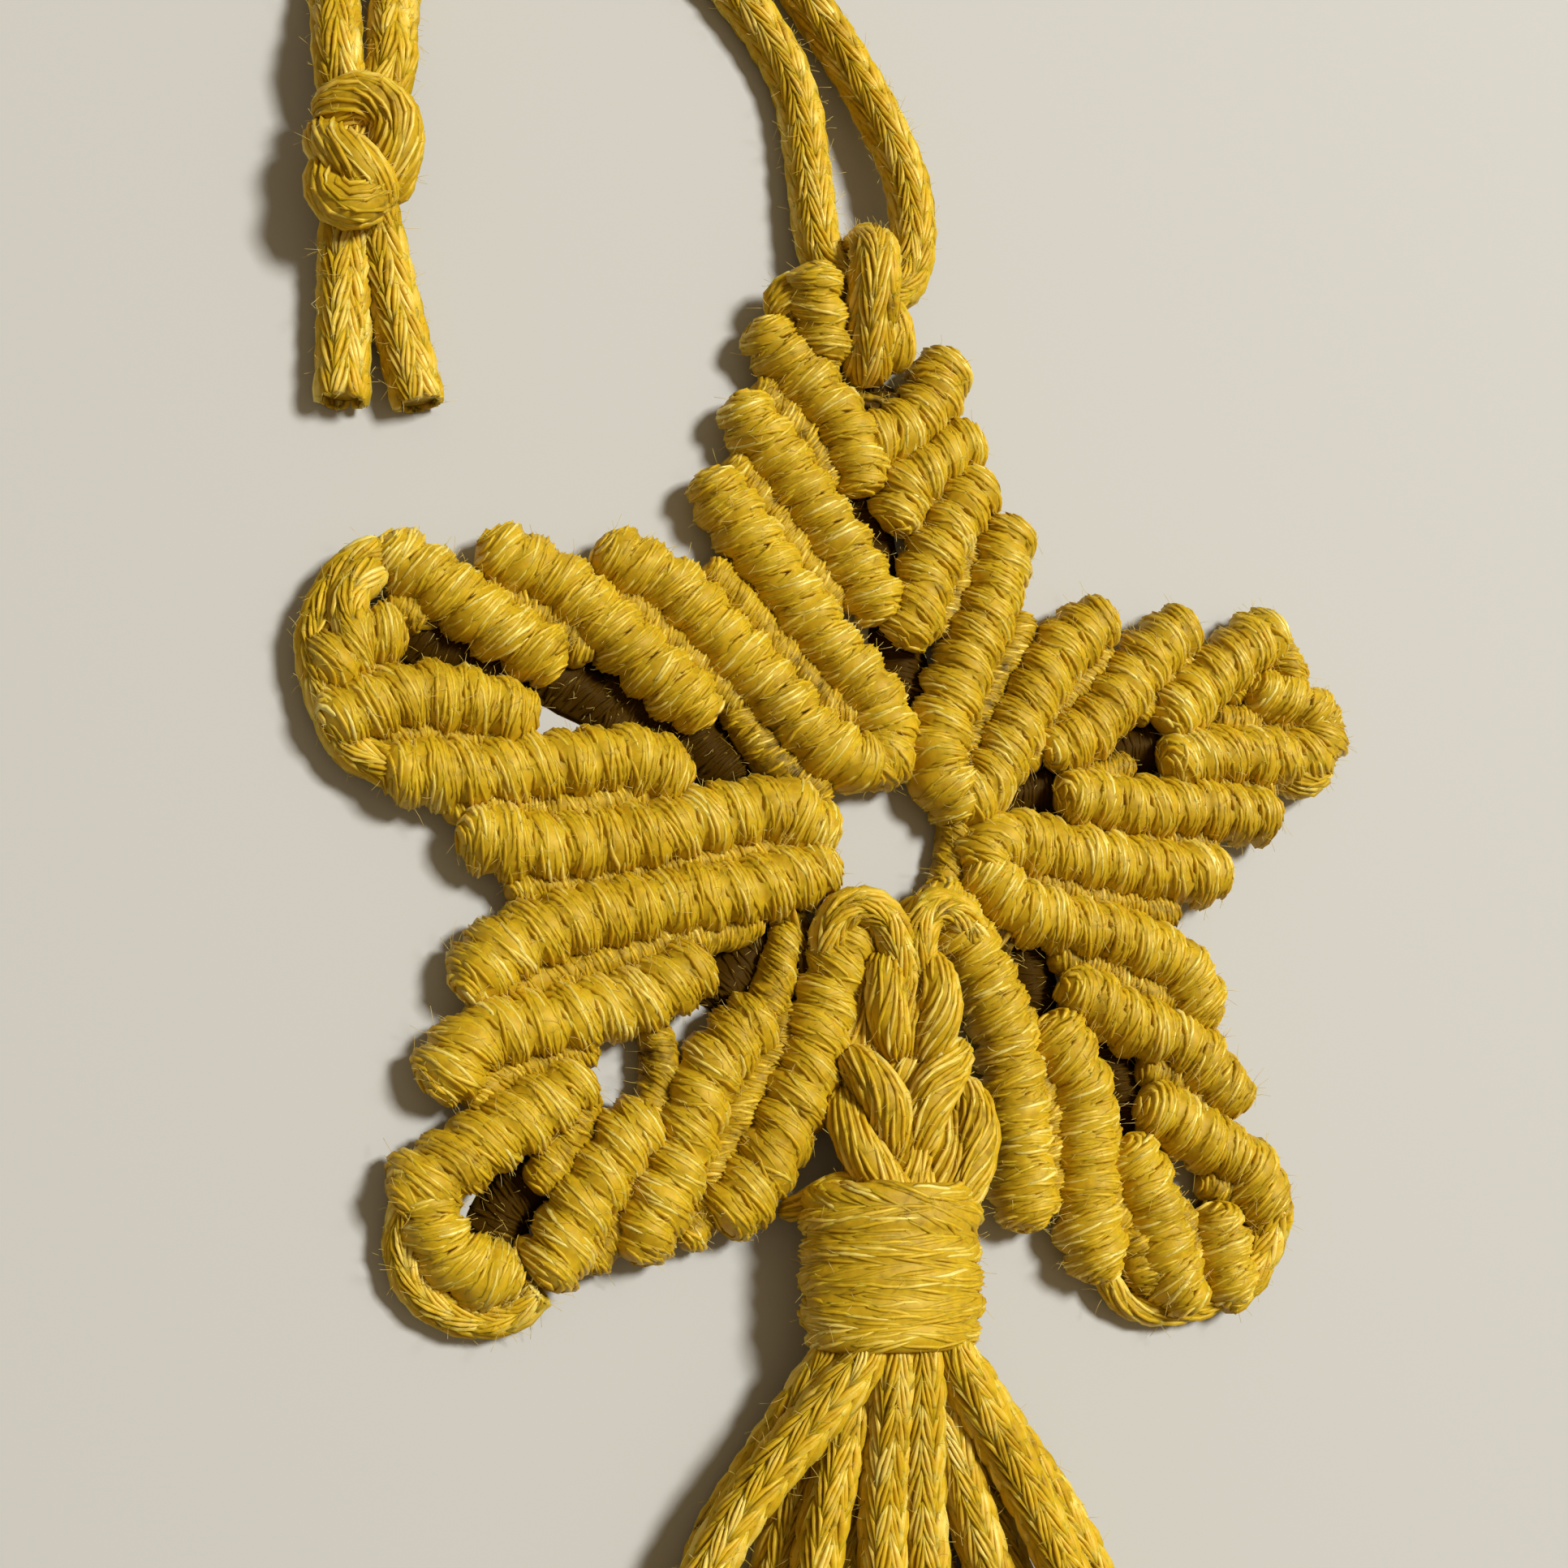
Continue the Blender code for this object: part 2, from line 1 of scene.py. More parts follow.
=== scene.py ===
# %% [markdown]
# # A knotted star of mustard cotton cord
# The star lies face up on a pale surface, with its tassel towards -Y and its hanging cord
# towards +Y. Everything here is made of one kind of cord, so the lesson is about yarn: how
# thin plies, laid side by side, become a knitted cord, and how the cord becomes a bar, a
# neck, a knot or a strand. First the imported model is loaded. It fixes every place and size.

# %% Load the frame
import math

import bpy
import numpy as np
from mathutils import Matrix, Vector


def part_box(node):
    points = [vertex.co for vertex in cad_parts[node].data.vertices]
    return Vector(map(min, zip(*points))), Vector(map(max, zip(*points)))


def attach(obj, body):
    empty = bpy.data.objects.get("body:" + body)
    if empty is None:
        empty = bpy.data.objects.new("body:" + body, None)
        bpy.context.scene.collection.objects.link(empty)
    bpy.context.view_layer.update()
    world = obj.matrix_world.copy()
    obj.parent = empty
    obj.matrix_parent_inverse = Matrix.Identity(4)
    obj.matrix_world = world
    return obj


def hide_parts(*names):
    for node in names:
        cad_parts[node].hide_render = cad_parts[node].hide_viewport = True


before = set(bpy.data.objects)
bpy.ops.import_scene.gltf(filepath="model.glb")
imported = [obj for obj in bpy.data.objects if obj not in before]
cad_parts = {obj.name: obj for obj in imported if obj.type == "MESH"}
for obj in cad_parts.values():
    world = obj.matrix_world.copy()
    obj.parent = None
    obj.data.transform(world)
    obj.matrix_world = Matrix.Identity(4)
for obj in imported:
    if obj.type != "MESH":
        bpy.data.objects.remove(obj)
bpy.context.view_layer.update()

for name in sorted(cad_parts):
    low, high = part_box(name)
    print(name, "from", [round(1000 * x, 1) for x in low], "to", [round(1000 * x, 1) for x in high])

# %% [markdown]
# ## Sizes
# All sizes are in millimetres, as they were read off the star, and are turned to metres
# when a mesh is made. The tables below have their own origin, in the star's middle hole;
# CENTRE says where the model's origin is in them.

# %% Sizes of the cord and its plies
MM = 0.001
CENTRE = np.array((5.5616, -26.9612, 0.0))

CORD_RADIUS = 1.62      # the knitted cord as it lies, a little flattened by handling
STITCH = 2.1            # from one stitch to the next, along the cord
ARM_LENGTH = 3.4        # one ply of an arm of a V, overlapping its neighbours
ARM_STEPS = 5           # points along one such ply
STROKE = 4.4            # length of one ply that shows on tight yarn
STROKE_STEP = 3.0       # from one such ply to the next in the same line
TUCKED = -0.31          # where a ply's ends lie, below the cord's surface
BULGE = 0.20            # how much higher than that its middle is
BED = 0.05              # how far the plies' bed lies under the cord's surface
BAR_HEIGHT = 2.35       # centre of a wrapped bar above the surface
FATTER = 0.18           # the yarn's bulge outside the bars' radius in the table
TURN = 2.35             # width of one turn of cord round a bar
TURN_PLIES = 6          # plies side by side in that width
RIDGE = 1.4             # depth of the groove between two turns
SKIRT = 0.22            # how much wider the cords are where they leave a bar's underside

draw = np.random.default_rng(11)
print("a bar has", round(TURN / TURN_PLIES, 2), "mm for each ply")

# %% [markdown]
# ## Camera
# The photograph was taken by hand from about 15 cm, leaning 24 degrees off the vertical,
# from the lower left. The camera's place and lean were measured, not found by eye.

# %% Camera
EYE = np.array((-54.969, -30.118, 137.606)) - CENTRE
LOOKING = Vector((0.36353, 0.19918, -0.91004))
UPRIGHT = Vector((-0.06941, 0.97995, 0.18676))
LENS = 48.75            # millimetres, on a frame 36 mm wide

lens = bpy.data.cameras.new("camera")
lens.lens = LENS
lens.sensor_width = 36.0
lens.sensor_fit = "HORIZONTAL"
lens.clip_start = 0.01
camera = bpy.data.objects.new("camera", lens)
bpy.context.scene.collection.objects.link(camera)
rightwards = LOOKING.cross(UPRIGHT).normalized()
turned = Matrix((rightwards, rightwards.cross(LOOKING), -LOOKING)).transposed().to_4x4()
camera.matrix_world = Matrix.Translation(Vector(EYE * MM)) @ turned
bpy.context.scene.camera = camera
print("camera", round(float(np.linalg.norm(EYE)), 1), "mm from the origin")

# %% [markdown]
# ## Routes
# A cord's route is a few given points. A smooth curve is laid through them, and then read
# off in even steps. Along it go three directions: along the cord, up, and to the side. They
# are carried from point to point without twisting, so stitches don't spin.

# %% Smooth routes and the directions along them
CURVE_STEPS = 20


def measure(line):
    """Distance from the first point to each point of a line."""
    return np.r_[0.0, np.cumsum(np.linalg.norm(np.diff(line, axis=0), axis=1))]


def read_off(line, distance, wanted):
    """Rows of `line` at the wanted distances along it."""
    return np.stack([np.interp(wanted, distance, line[:, i]) for i in range(3)], axis=-1)


def smooth_route(points, spacing):
    """Points `spacing` mm apart on a smooth curve through the chosen ones."""
    chosen = np.array(points, float)
    ends = np.vstack([2 * chosen[0] - chosen[1], chosen, 2 * chosen[-1] - chosen[-2]])
    t = np.linspace(0.0, 1.0, CURVE_STEPS, endpoint=False)[:, None]
    spans = [0.5 * (2 * b + (c - a) * t + (2 * a - 5 * b + 4 * c - d) * t ** 2
                    + (3 * b - a - 3 * c + d) * t ** 3)
             for a, b, c, d in zip(ends, ends[1:], ends[2:], ends[3:])]
    dense = np.vstack(spans + [chosen[-1:]])
    distance = measure(dense)
    count = max(2, round(distance[-1] / spacing))
    return read_off(dense, distance, np.linspace(0.0, distance[-1], count + 1))


def unit(vectors):
    """Vectors of length one."""
    return vectors / np.linalg.norm(vectors, axis=-1, keepdims=True)


def directions(line):
    """Along, up and sideways at each point of a line."""
    along = unit(np.gradient(line, axis=0))
    up = np.empty_like(along)
    carried = np.array((0.0, 0.0, 1.0))
    for i, ahead in enumerate(along):
        carried = unit(carried - carried.dot(ahead) * ahead)
        up[i] = carried
    return along, up, np.cross(along, up)


test = smooth_route(((0, 0, 0), (10, 5, 0), (20, 0, 0)), 1.0)
print("a bent test route of 3 chosen points is read off at", len(test), "points")

# %% [markdown]
# ## Yarn
# Thousands of plies are needed, far too many to add one at a time as bevelled curves. They
# are all the same simple thing, though: a thin closed tube along a line. `sweep` makes any
# number of them at once, as arrays, each with three sides, one of which faces out and is
# rounded by smooth shading. Each ply keeps a number of its own, `tint`, so that the material
# can make it a little lighter or darker than the next. The same number also carries a painted
# shade: yarn in the gaps gets a lower tint, so it is darker.

# %% Tubes along many lines at once
def sweep(paths, outward, radii, tint, sides=3):
    """Closed tubes along many lines of equally many points, in millimetres."""
    along = unit(np.gradient(paths, axis=1))
    out = unit(outward - (outward * along).sum(-1, keepdims=True) * along)
    side = np.cross(along, out)
    turn = math.pi / 2 + 2 * math.pi * np.arange(sides) / sides
    ring = (np.cos(turn)[:, None] * side[:, :, None] + np.sin(turn)[:, None] * out[:, :, None])
    thick = np.broadcast_to(radii, paths.shape[:2])[:, :, None, None]
    points = paths[:, :, None] + thick * ring
    index = np.arange(points[..., 0].size).reshape(points.shape[:3])
    here, there = index[:, :-1], index[:, 1:]
    walls = np.stack([here, there, np.roll(there, -1, 2), np.roll(here, -1, 2)], -1)
    caps = np.concatenate([index[:, 0], index[:, -1, ::-1]])
    per_tube = points.shape[1] * sides
    return {"points": points.reshape(-1, 3), "faces": (walls.reshape(-1, 4), caps),
            "tint": np.repeat(np.broadcast_to(tint, len(paths)), per_tube),
            "lines": paths, "outward": out}


GROUND = 0.02           # no yarn lies lower than this


def yarn_piece(name, node, batches, material):
    """One mesh object from batches of tubes, kept above the surface they lie on, in the
    place of a CAD node."""
    plies_of.setdefault(node, []).extend(batches)
    loops, sizes, start = [], [], 0
    for batch in batches:
        for faces in batch["faces"]:
            loops.append((faces + start).ravel())
            sizes.append(np.full(len(faces), faces.shape[1]))
        start += len(batch["points"])
    loops, sizes = np.concatenate(loops), np.concatenate(sizes)
    points = np.concatenate([batch["points"] for batch in batches]) - CENTRE
    points[:, 2] = np.maximum(points[:, 2], GROUND)
    mesh = bpy.data.meshes.new(name)
    mesh.vertices.add(len(points))
    mesh.vertices.foreach_set("co", (points * MM).astype(np.float32).ravel())
    mesh.loops.add(len(loops))
    mesh.loops.foreach_set("vertex_index", loops.astype(np.int32))
    mesh.polygons.add(len(sizes))
    mesh.polygons.foreach_set("loop_start", (np.cumsum(sizes) - sizes).astype(np.int32))
    mesh.update(calc_edges=True)
    tint = mesh.attributes.new("tint", "FLOAT", "POINT")
    values = np.concatenate([batch["tint"] for batch in batches]).astype(np.float32)
    tint.data.foreach_set("value", values)
    mesh.shade_smooth()
    mesh.materials.append(material)
    piece = bpy.data.objects.new(name, mesh)
    bpy.context.scene.collection.objects.link(piece)
    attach(piece, "root")
    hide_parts(node)
    triangles = int((sizes - 2).sum())
    print(name, "has", triangles, "triangles")
    made.append(triangles)
    return piece


made = []               # triangles of each piece
plies_of = {}           # batches of plies, by CAD node

# %% [markdown]
# ## Materials
# The cord is mercerised cotton, dyed mustard and knitted: matt from a distance, but each
# ply is a bundle of silky fibres that catches the light along its length. So the base is a
# warm yellow with a soft, fairly broad highlight and a little sheen. Some light goes half a
# millimetre into the fibres and comes out warmer, so the gaps between plies aren't grey.
# The dye is uneven over a few millimetres, and no two plies are quite alike: the paler one is,
# the smoother. Yarn deep in a gap, where hardly any light reaches, gets a painted shade: a
# darker colour, down to nearly black-brown, and less shine.

# %% Colours and the cotton material
def linear(code):
    """A colour as a web code, such as D2AE4E, turned to linear light."""
    values = [int(code[i:i + 2], 16) / 255 for i in (0, 2, 4)]
    return [v / 12.92 if v <= 0.04045 else ((v + 0.055) / 1.055) ** 2.4 for v in values] + [1.0]


def add_node(tree, kind, settings=None, links=None):
    """A node with its settings, and its inputs linked from other nodes' outputs."""
    node = tree.nodes.new(kind)
    for name, value in (settings or {}).items():
        if isinstance(name, int) or name in node.inputs:
            node.inputs[name].default_value = value
        else:
            setattr(node, name, value)
    for name, output in (links or {}).items():
        tree.links.new(output, node.inputs[name])
    return node


COTTON = {
    "Specular Tint": linear("FFF0B4"),      # the glints are a little yellow
    "Subsurface Weight": 0.35,
    "Subsurface Radius": (1.0, 0.6, 0.1),   # red goes furthest through it, blue hardly at all
    "Subsurface Scale": 0.0005,
    "Sheen Weight": 0.05,                   # down on the plies, seen where they turn away
    "Sheen Roughness": 0.4,
    "Sheen Tint": linear("FFDC60"),
}


def cotton(name, colours, roughness=0.45):
    """Dyed cotton: shade by ply, which also carries a painted shade for yarn in the gaps, and by
    slow changes of the dye, with a fine fibre bump. The colours are for hidden (nearly
    black-brown, a painted shade for yarn at the bottom of a pit), deep, middle and light."""
    material = bpy.data.materials.new(name)
    material.use_nodes = True
    tree = material.node_tree
    shader = tree.nodes["Principled BSDF"]
    place = add_node(tree, "ShaderNodeTexCoord").outputs["Object"]  # in metres
    ply = add_node(tree, "ShaderNodeAttribute", {"attribute_name": "tint"}).outputs["Fac"]

    def noise(per_metre, detail):
        """Uneven grey, with this many patches to a metre."""
        return add_node(tree, "ShaderNodeTexNoise", {"Scale": per_metre, "Detail": detail},
                        {"Vector": place}).outputs["Fac"]

    # The dye changes over 6 mm, flecks are 0.7 mm apart and fibres 0.1 mm.
    dye, fleck, fibre = noise(160.0, 3.0), noise(1500.0, 2.0), noise(9000.0, 1.0)
    shade = ply
    for uneven in (dye, fleck):
        shade = add_node(tree, "ShaderNodeMath", {"operation": "MULTIPLY_ADD", 1: 0.5},
                         {0: uneven, 2: shade}).outputs[0]
    ramp = add_node(tree, "ShaderNodeValToRGB", None, {"Fac": shade})
    stops = ramp.color_ramp.elements
    stops[1].position = 0.95
    stops.new(0.25)
    stops.new(0.5)
    for stop, colour in zip(stops, colours):
        stop.color = linear(colour)
    bump = add_node(tree, "ShaderNodeBump", {"Strength": 0.25, "Distance": 0.00003},
                    {"Height": fibre}).outputs["Normal"]
    tree.links.new(ramp.outputs["Color"], shader.inputs["Base Color"])
    tree.links.new(bump, shader.inputs["Normal"])
    # Paler plies are the smoother ones. Those with the lowest tints, yarn deep in the gaps,
    # hardly reflect: a painted shade on their shine.
    for socket, tints, values in (
            ("Roughness", (-0.15, 0.25), (roughness + 0.12, roughness - 0.08)),
            ("Specular IOR Level", (-0.6, -0.1), (0.06, 0.58))):
        by_tint = add_node(tree, "ShaderNodeMapRange", {
            "From Min": tints[0], "From Max": tints[1], "To Min": values[0],
            "To Max": values[1]}, {"Value": ply})
        tree.links.new(by_tint.outputs["Result"], shader.inputs[socket])
    for socket, value in COTTON.items():
        shader.inputs[socket].default_value = value
    return material


# Silky plies: a deep mustard yellow with paler plies, which glint, and nearly black-brown as
# a painted shade for yarn at the bottom of the gaps.
PLY_COLOURS = ("3C2602", "AC880C", "CAA414", "EED474")
# Single fibres stand off the cord and scatter light, so they look paler, duller and rougher.
FIBRE_COLOURS = ("8A6414", "A8841C", "CDA63C", "E6C976")
cord_cotton = cotton("mercerised cotton plies", PLY_COLOURS)
fuzz_cotton = cotton("loose cotton fibres", FIBRE_COLOURS, roughness=0.7)
print("in linear light the yellow is", [round(value, 3) for value in linear(PLY_COLOURS[2])[:3]])

# %% [markdown]
# ## The knitted cord
# The cord is a narrow knitted tube. Round it stand five columns of V stitches, like a
# crochet chain. Each arm of a V is three plies side by side, fat in the middle and tucked
# under its neighbours at both ends. A core inside closes the gaps between them; it is darker
# than the plies, a painted shade for those gaps. No two stitches are pulled alike, so each
# ply is moved a little by lot.

# %% Knitted cord
SQUEEZED = 5.0          # how far a squeezed cord takes to reach its full thickness


def core(line, radii, tint=-0.25, sides=10):
    """A plain tube inside the plies, a little darker than they are: a painted shade for the gaps
    between them.
    """
    up = directions(line)[1]
    return sweep(line[None], up[None], np.broadcast_to(radii, len(line))[None], tint, sides)


def knitted(points, radius=CORD_RADIUS, plies=3, columns=5, apex=1, spin=0.0, root=1.0):
    """Batches for a knitted cord. `apex` is 1 where the V stitches point along the route,
    and `root` is how thin the cord starts, where it is squeezed."""
    line = smooth_route(points, 0.3)
    distance = measure(line)
    along, up, side = directions(line)
    half = math.pi / columns
    rows = np.arange(0.2, distance[-1] - 0.3, STITCH)   # not quite to the cut ends
    row, column, arm, ply = [grid.ravel() for grid in np.meshgrid(
        rows, np.arange(columns), (-1, 1), np.arange(plies) - (plies - 1) / 2, indexing="ij")]
    count = len(row)
    t = np.linspace(0.0, 1.0, ARM_STEPS)
    hump = np.sin(math.pi * t)
    reach = ARM_LENGTH * (0.5 - t) * apex
    wanted = row[:, None] + STITCH / 2 + reach + draw.normal(0, 0.12, (count, 1))
    wanted = np.clip(wanted, 0.0, distance[-1])
    # An arm leans out from the V's point over most of half a column, and its plies, which
    # overlap by 15%, draw together at both ends.
    lean = half * (0.10 + 0.84 * t)
    width = 1.15 * half / plies
    spread = width * ply[:, None] * (0.35 + 0.65 * hump)
    angle = (2 * half * column[:, None] + arm[:, None] * lean + spread + spin
             + draw.normal(0, 0.035, (count, 1)))
    squeeze = root + (1 - root) * np.clip(wanted / SQUEEZED, 0, 1) ** 0.7
    proud = TUCKED + BULGE * hump ** 0.7 - 0.04 * np.abs(ply[:, None]) * hump
    proud = proud + draw.normal(0, 0.03, (count, 1)) * hump
    ups, asides = read_off(up, distance, wanted), read_off(side, distance, wanted)
    outward = np.cos(angle)[..., None] * ups + np.sin(angle)[..., None] * asides
    height = radius * squeeze + proud
    paths = read_off(line, distance, wanted) + height[..., None] * outward
    thick = (0.78 * width * radius) * (0.55 + 0.45 * hump) * squeeze
    tint = draw.normal(0.0, 0.10, count) + np.repeat(draw.normal(0.0, 0.09, count // plies), plies)
    inner = line[::4] if len(line) > 8 else line
    thin = root + (1 - root) * np.clip(measure(inner) / SQUEEZED, 0, 1) ** 0.7
    return [sweep(paths, outward, thick, tint), core(inner, radius * thin - 0.13)]


sample = knitted(((0, 0, 2), (10, 0, 2), (20, 0, 2)))
print("20 mm of knitted cord is", len(sample[0]["lines"]), "plies")

# %% [markdown]
# Where the cord is drawn tight round something, its stitches are pulled out. What shows
# then is long, nearly parallel plies that weave slightly over and under each other.

# %% Cord that is drawn tight
TIGHT_PLIES = 9.5       # for each mm of radius, all round
TWIST = 0.04            # turns per mm
SHORTEST = 1.0          # shorter pieces of a ply at a cord's ends are left out


def drawn(points, radius, plies=None, tint=0.0, leaf=0.0):
    """Batches for a tight cord whose plies run along it. `leaf` is how much thinner it is
    at both ends than in the middle."""
    plies = plies or round(TIGHT_PLIES * radius)
    line = smooth_route(points, 0.4)
    distance = measure(line)
    along, up, side = directions(line)

    def taper(s):
        """How thick the cord is at distance s, with round ends."""
        end = np.minimum(s, distance[-1] - s) / radius
        rounded = np.sqrt(np.clip(1 - (1 - np.clip(end, 0, 1)) ** 2, 0.1, 1))
        return rounded * (1 - leaf * (1 - np.sin(math.pi * np.clip(s / distance[-1], 0, 1))))

    starts, ply = [grid.ravel() for grid in np.meshgrid(
        np.arange(-STROKE_STEP, distance[-1], STROKE_STEP), np.arange(plies), indexing="ij")]
    starts = starts + STROKE_STEP * draw.uniform(0, 1, plies)[ply] + draw.normal(0, 0.3, len(ply))
    first, last = np.clip(starts, 0, distance[-1]), np.clip(starts + STROKE, 0, distance[-1])
    kept = last - first > SHORTEST
    first, last, ply = first[kept, None], last[kept, None], ply[kept, None]
    t = np.linspace(0.0, 1.0, ARM_STEPS + 1)
    hump = np.sin(math.pi * t) ** 0.6
    s = first + (last - first) * t
    angle = (2 * math.pi * (ply / plies + TWIST * s) + draw.normal(0, 0.3, ply.shape) * (t - 0.5)
             + 0.10 * np.sin(1.3 * s + ply))
    height = (radius - 0.30 + BULGE * hump + draw.normal(0, 0.03, ply.shape) * hump) * taper(s)
    ups, asides = read_off(up, distance, s), read_off(side, distance, s)
    outward = np.cos(angle)[..., None] * ups + np.sin(angle)[..., None] * asides
    paths = read_off(line, distance, s) + height[..., None] * outward
    thick = 0.72 * math.pi * radius / plies * (0.5 + 0.5 * hump) * (0.4 + 0.6 * taper(s))
    # By lot, but never so dark that a ply looks like a hole.
    shades = np.maximum(draw.normal(tint, 0.13, len(paths)), tint - 0.24)
    # The core is darker than the plies: a painted shade for the gaps between them.
    return [sweep(paths, outward, thick, shades),
            core(line, (radius - 0.15) * taper(distance), tint - 0.2, sides=14)]


print("a tight cord has", len(drawn(((0, 0, 2), (5, 0, 2), (9, 0, 2)), 1.5)[0]["lines"]), "plies")

# %% [markdown]
# ## The hanging cord
# One doubled cord goes through the loop at the top of the star, and its two legs meet again
# in an overhand knot. Each leg stands for its CAD tube. The routes are the same points as in
# the CAD. The yarn goes on a few millimetres past each route's end, into the knot, so that no
# cut end shows there.

# %% The two legs
LAY = 1.5245            # height of a leg's centre where it lies on the surface
INNER_LEG = ((5.1, 36.9, 3.5), (4.2, 36.95, 3.4), (2.7, 38.6, 2.6), (2.1, 40.8, 2.1),
             (1.8, 43.6, 1.9), (1.5, 47.0, 1.7), (1.1, 50.5, LAY), (0.2, 54.0, LAY),
             (-2.4, 58.2, LAY), (-7.6, 63.4, LAY), (-14.0, 66.9, LAY), (-20.4, 66.9, LAY),
             (-26.0, 63.6, LAY), (-29.2, 58.6, LAY), (-29.9, 53.8, 1.9), (-30.3, 50.2, 3.2),
             (-30.3, 47.9, 3.8))
OUTER_LEG = ((5.7, 36.9, 3.5), (6.8, 37.0, 3.4), (8.6, 38.4, 3.4), (9.3, 42.0, 3.4),
             (8.9, 46.6, 3.2), (7.4, 50.6, 2.9), (5.2, 55.0, 2.4), (2.6, 59.2, 1.9),
             (-1.4, 64.6, LAY), (-7.4, 69.6, LAY), (-15.4, 72.5, LAY), (-23.6, 71.3, LAY),
             (-30.0, 66.4, LAY), (-33.4, 59.6, LAY), (-34.2, 54.2, 1.9), (-34.1, 50.4, 3.2),
             (-34.1, 47.9, 3.8))

for name, points, spin, in_the_knot in (
        ("hanging_cord_inner", INNER_LEG, 0.35, (-31.0, 45.0, 3.4)),
        ("hanging_cord_outer", OUTER_LEG, 0.1, (-33.4, 45.0, 3.4))):
    stitches = knitted((*points, in_the_knot), apex=-1, spin=spin)
    yarn_piece(name + "_yarn", name, stitches, cord_cotton)

# %% [markdown]
# ## The overhand knot and its tails
# Both legs run into the knot. Its bands are drawn tight, so they are long plies, and the
# two cut tails below it are slack again, so they are knitted.

# %% Knot and tails
TAIL_RADIUS = 1.72      # the cut ends have opened up a little
KNOT_BANDS = (          # radius and route
    (2.1, ((-32.9, 45.0, 3.0), (-32.4, 41.5, 3.0), (-32.1, 37.6, 2.6))),
    (1.8, ((-34.6, 42.8, 2.6), (-33.6, 43.6, 4.4), (-32.0, 44.0, 5.2), (-30.4, 43.0, 5.2),
     (-30.0, 41.0, 4.8), (-30.3, 39.4, 3.8), (-30.8, 38.1, 2.4))),
    (1.7, ((-34.4, 42.3, 2.8), (-34.3, 40.4, 4.5), (-33.0, 39.1, 5.5), (-31.6, 38.0, 5.0),
     (-30.9, 36.9, 3.6))),
    (1.7, ((-33.9, 40.0, 3.2), (-34.3, 37.6, 4.3), (-33.6, 36.2, 5.0), (-32.2, 36.6, 5.1),
     (-31.2, 38.7, 4.0))),
)
TAILS = (
    ((-32.6, 38.4, 2.6), (-32.7, 34.6, 1.9), (-32.6, 29.0, 1.65), (-32.5, 23.6, 1.65)),
    ((-31.4, 38.0, 3.0), (-30.4, 35.2, 2.0), (-28.9, 30.0, 1.65), (-27.3, 24.2, 1.65)),
)
knot_yarn = []
for radius, points in KNOT_BANDS:
    knot_yarn += drawn(points, radius)
for points in TAILS:
    knot_yarn += knitted(points, TAIL_RADIUS, spin=0.6)
knot = yarn_piece("hanging_knot_yarn", "hanging_knot", knot_yarn, cord_cotton)

# %% [markdown]
# ## The wrapped bars
# Each point of the star is built from rows. In a row, cords are hitched side by side round
# a core cord, so the row looks like a bar wrapped with yarn. One helix of six plies side by
# side, one turn to every 2.35 mm, gives that. The routes were read off the photograph.

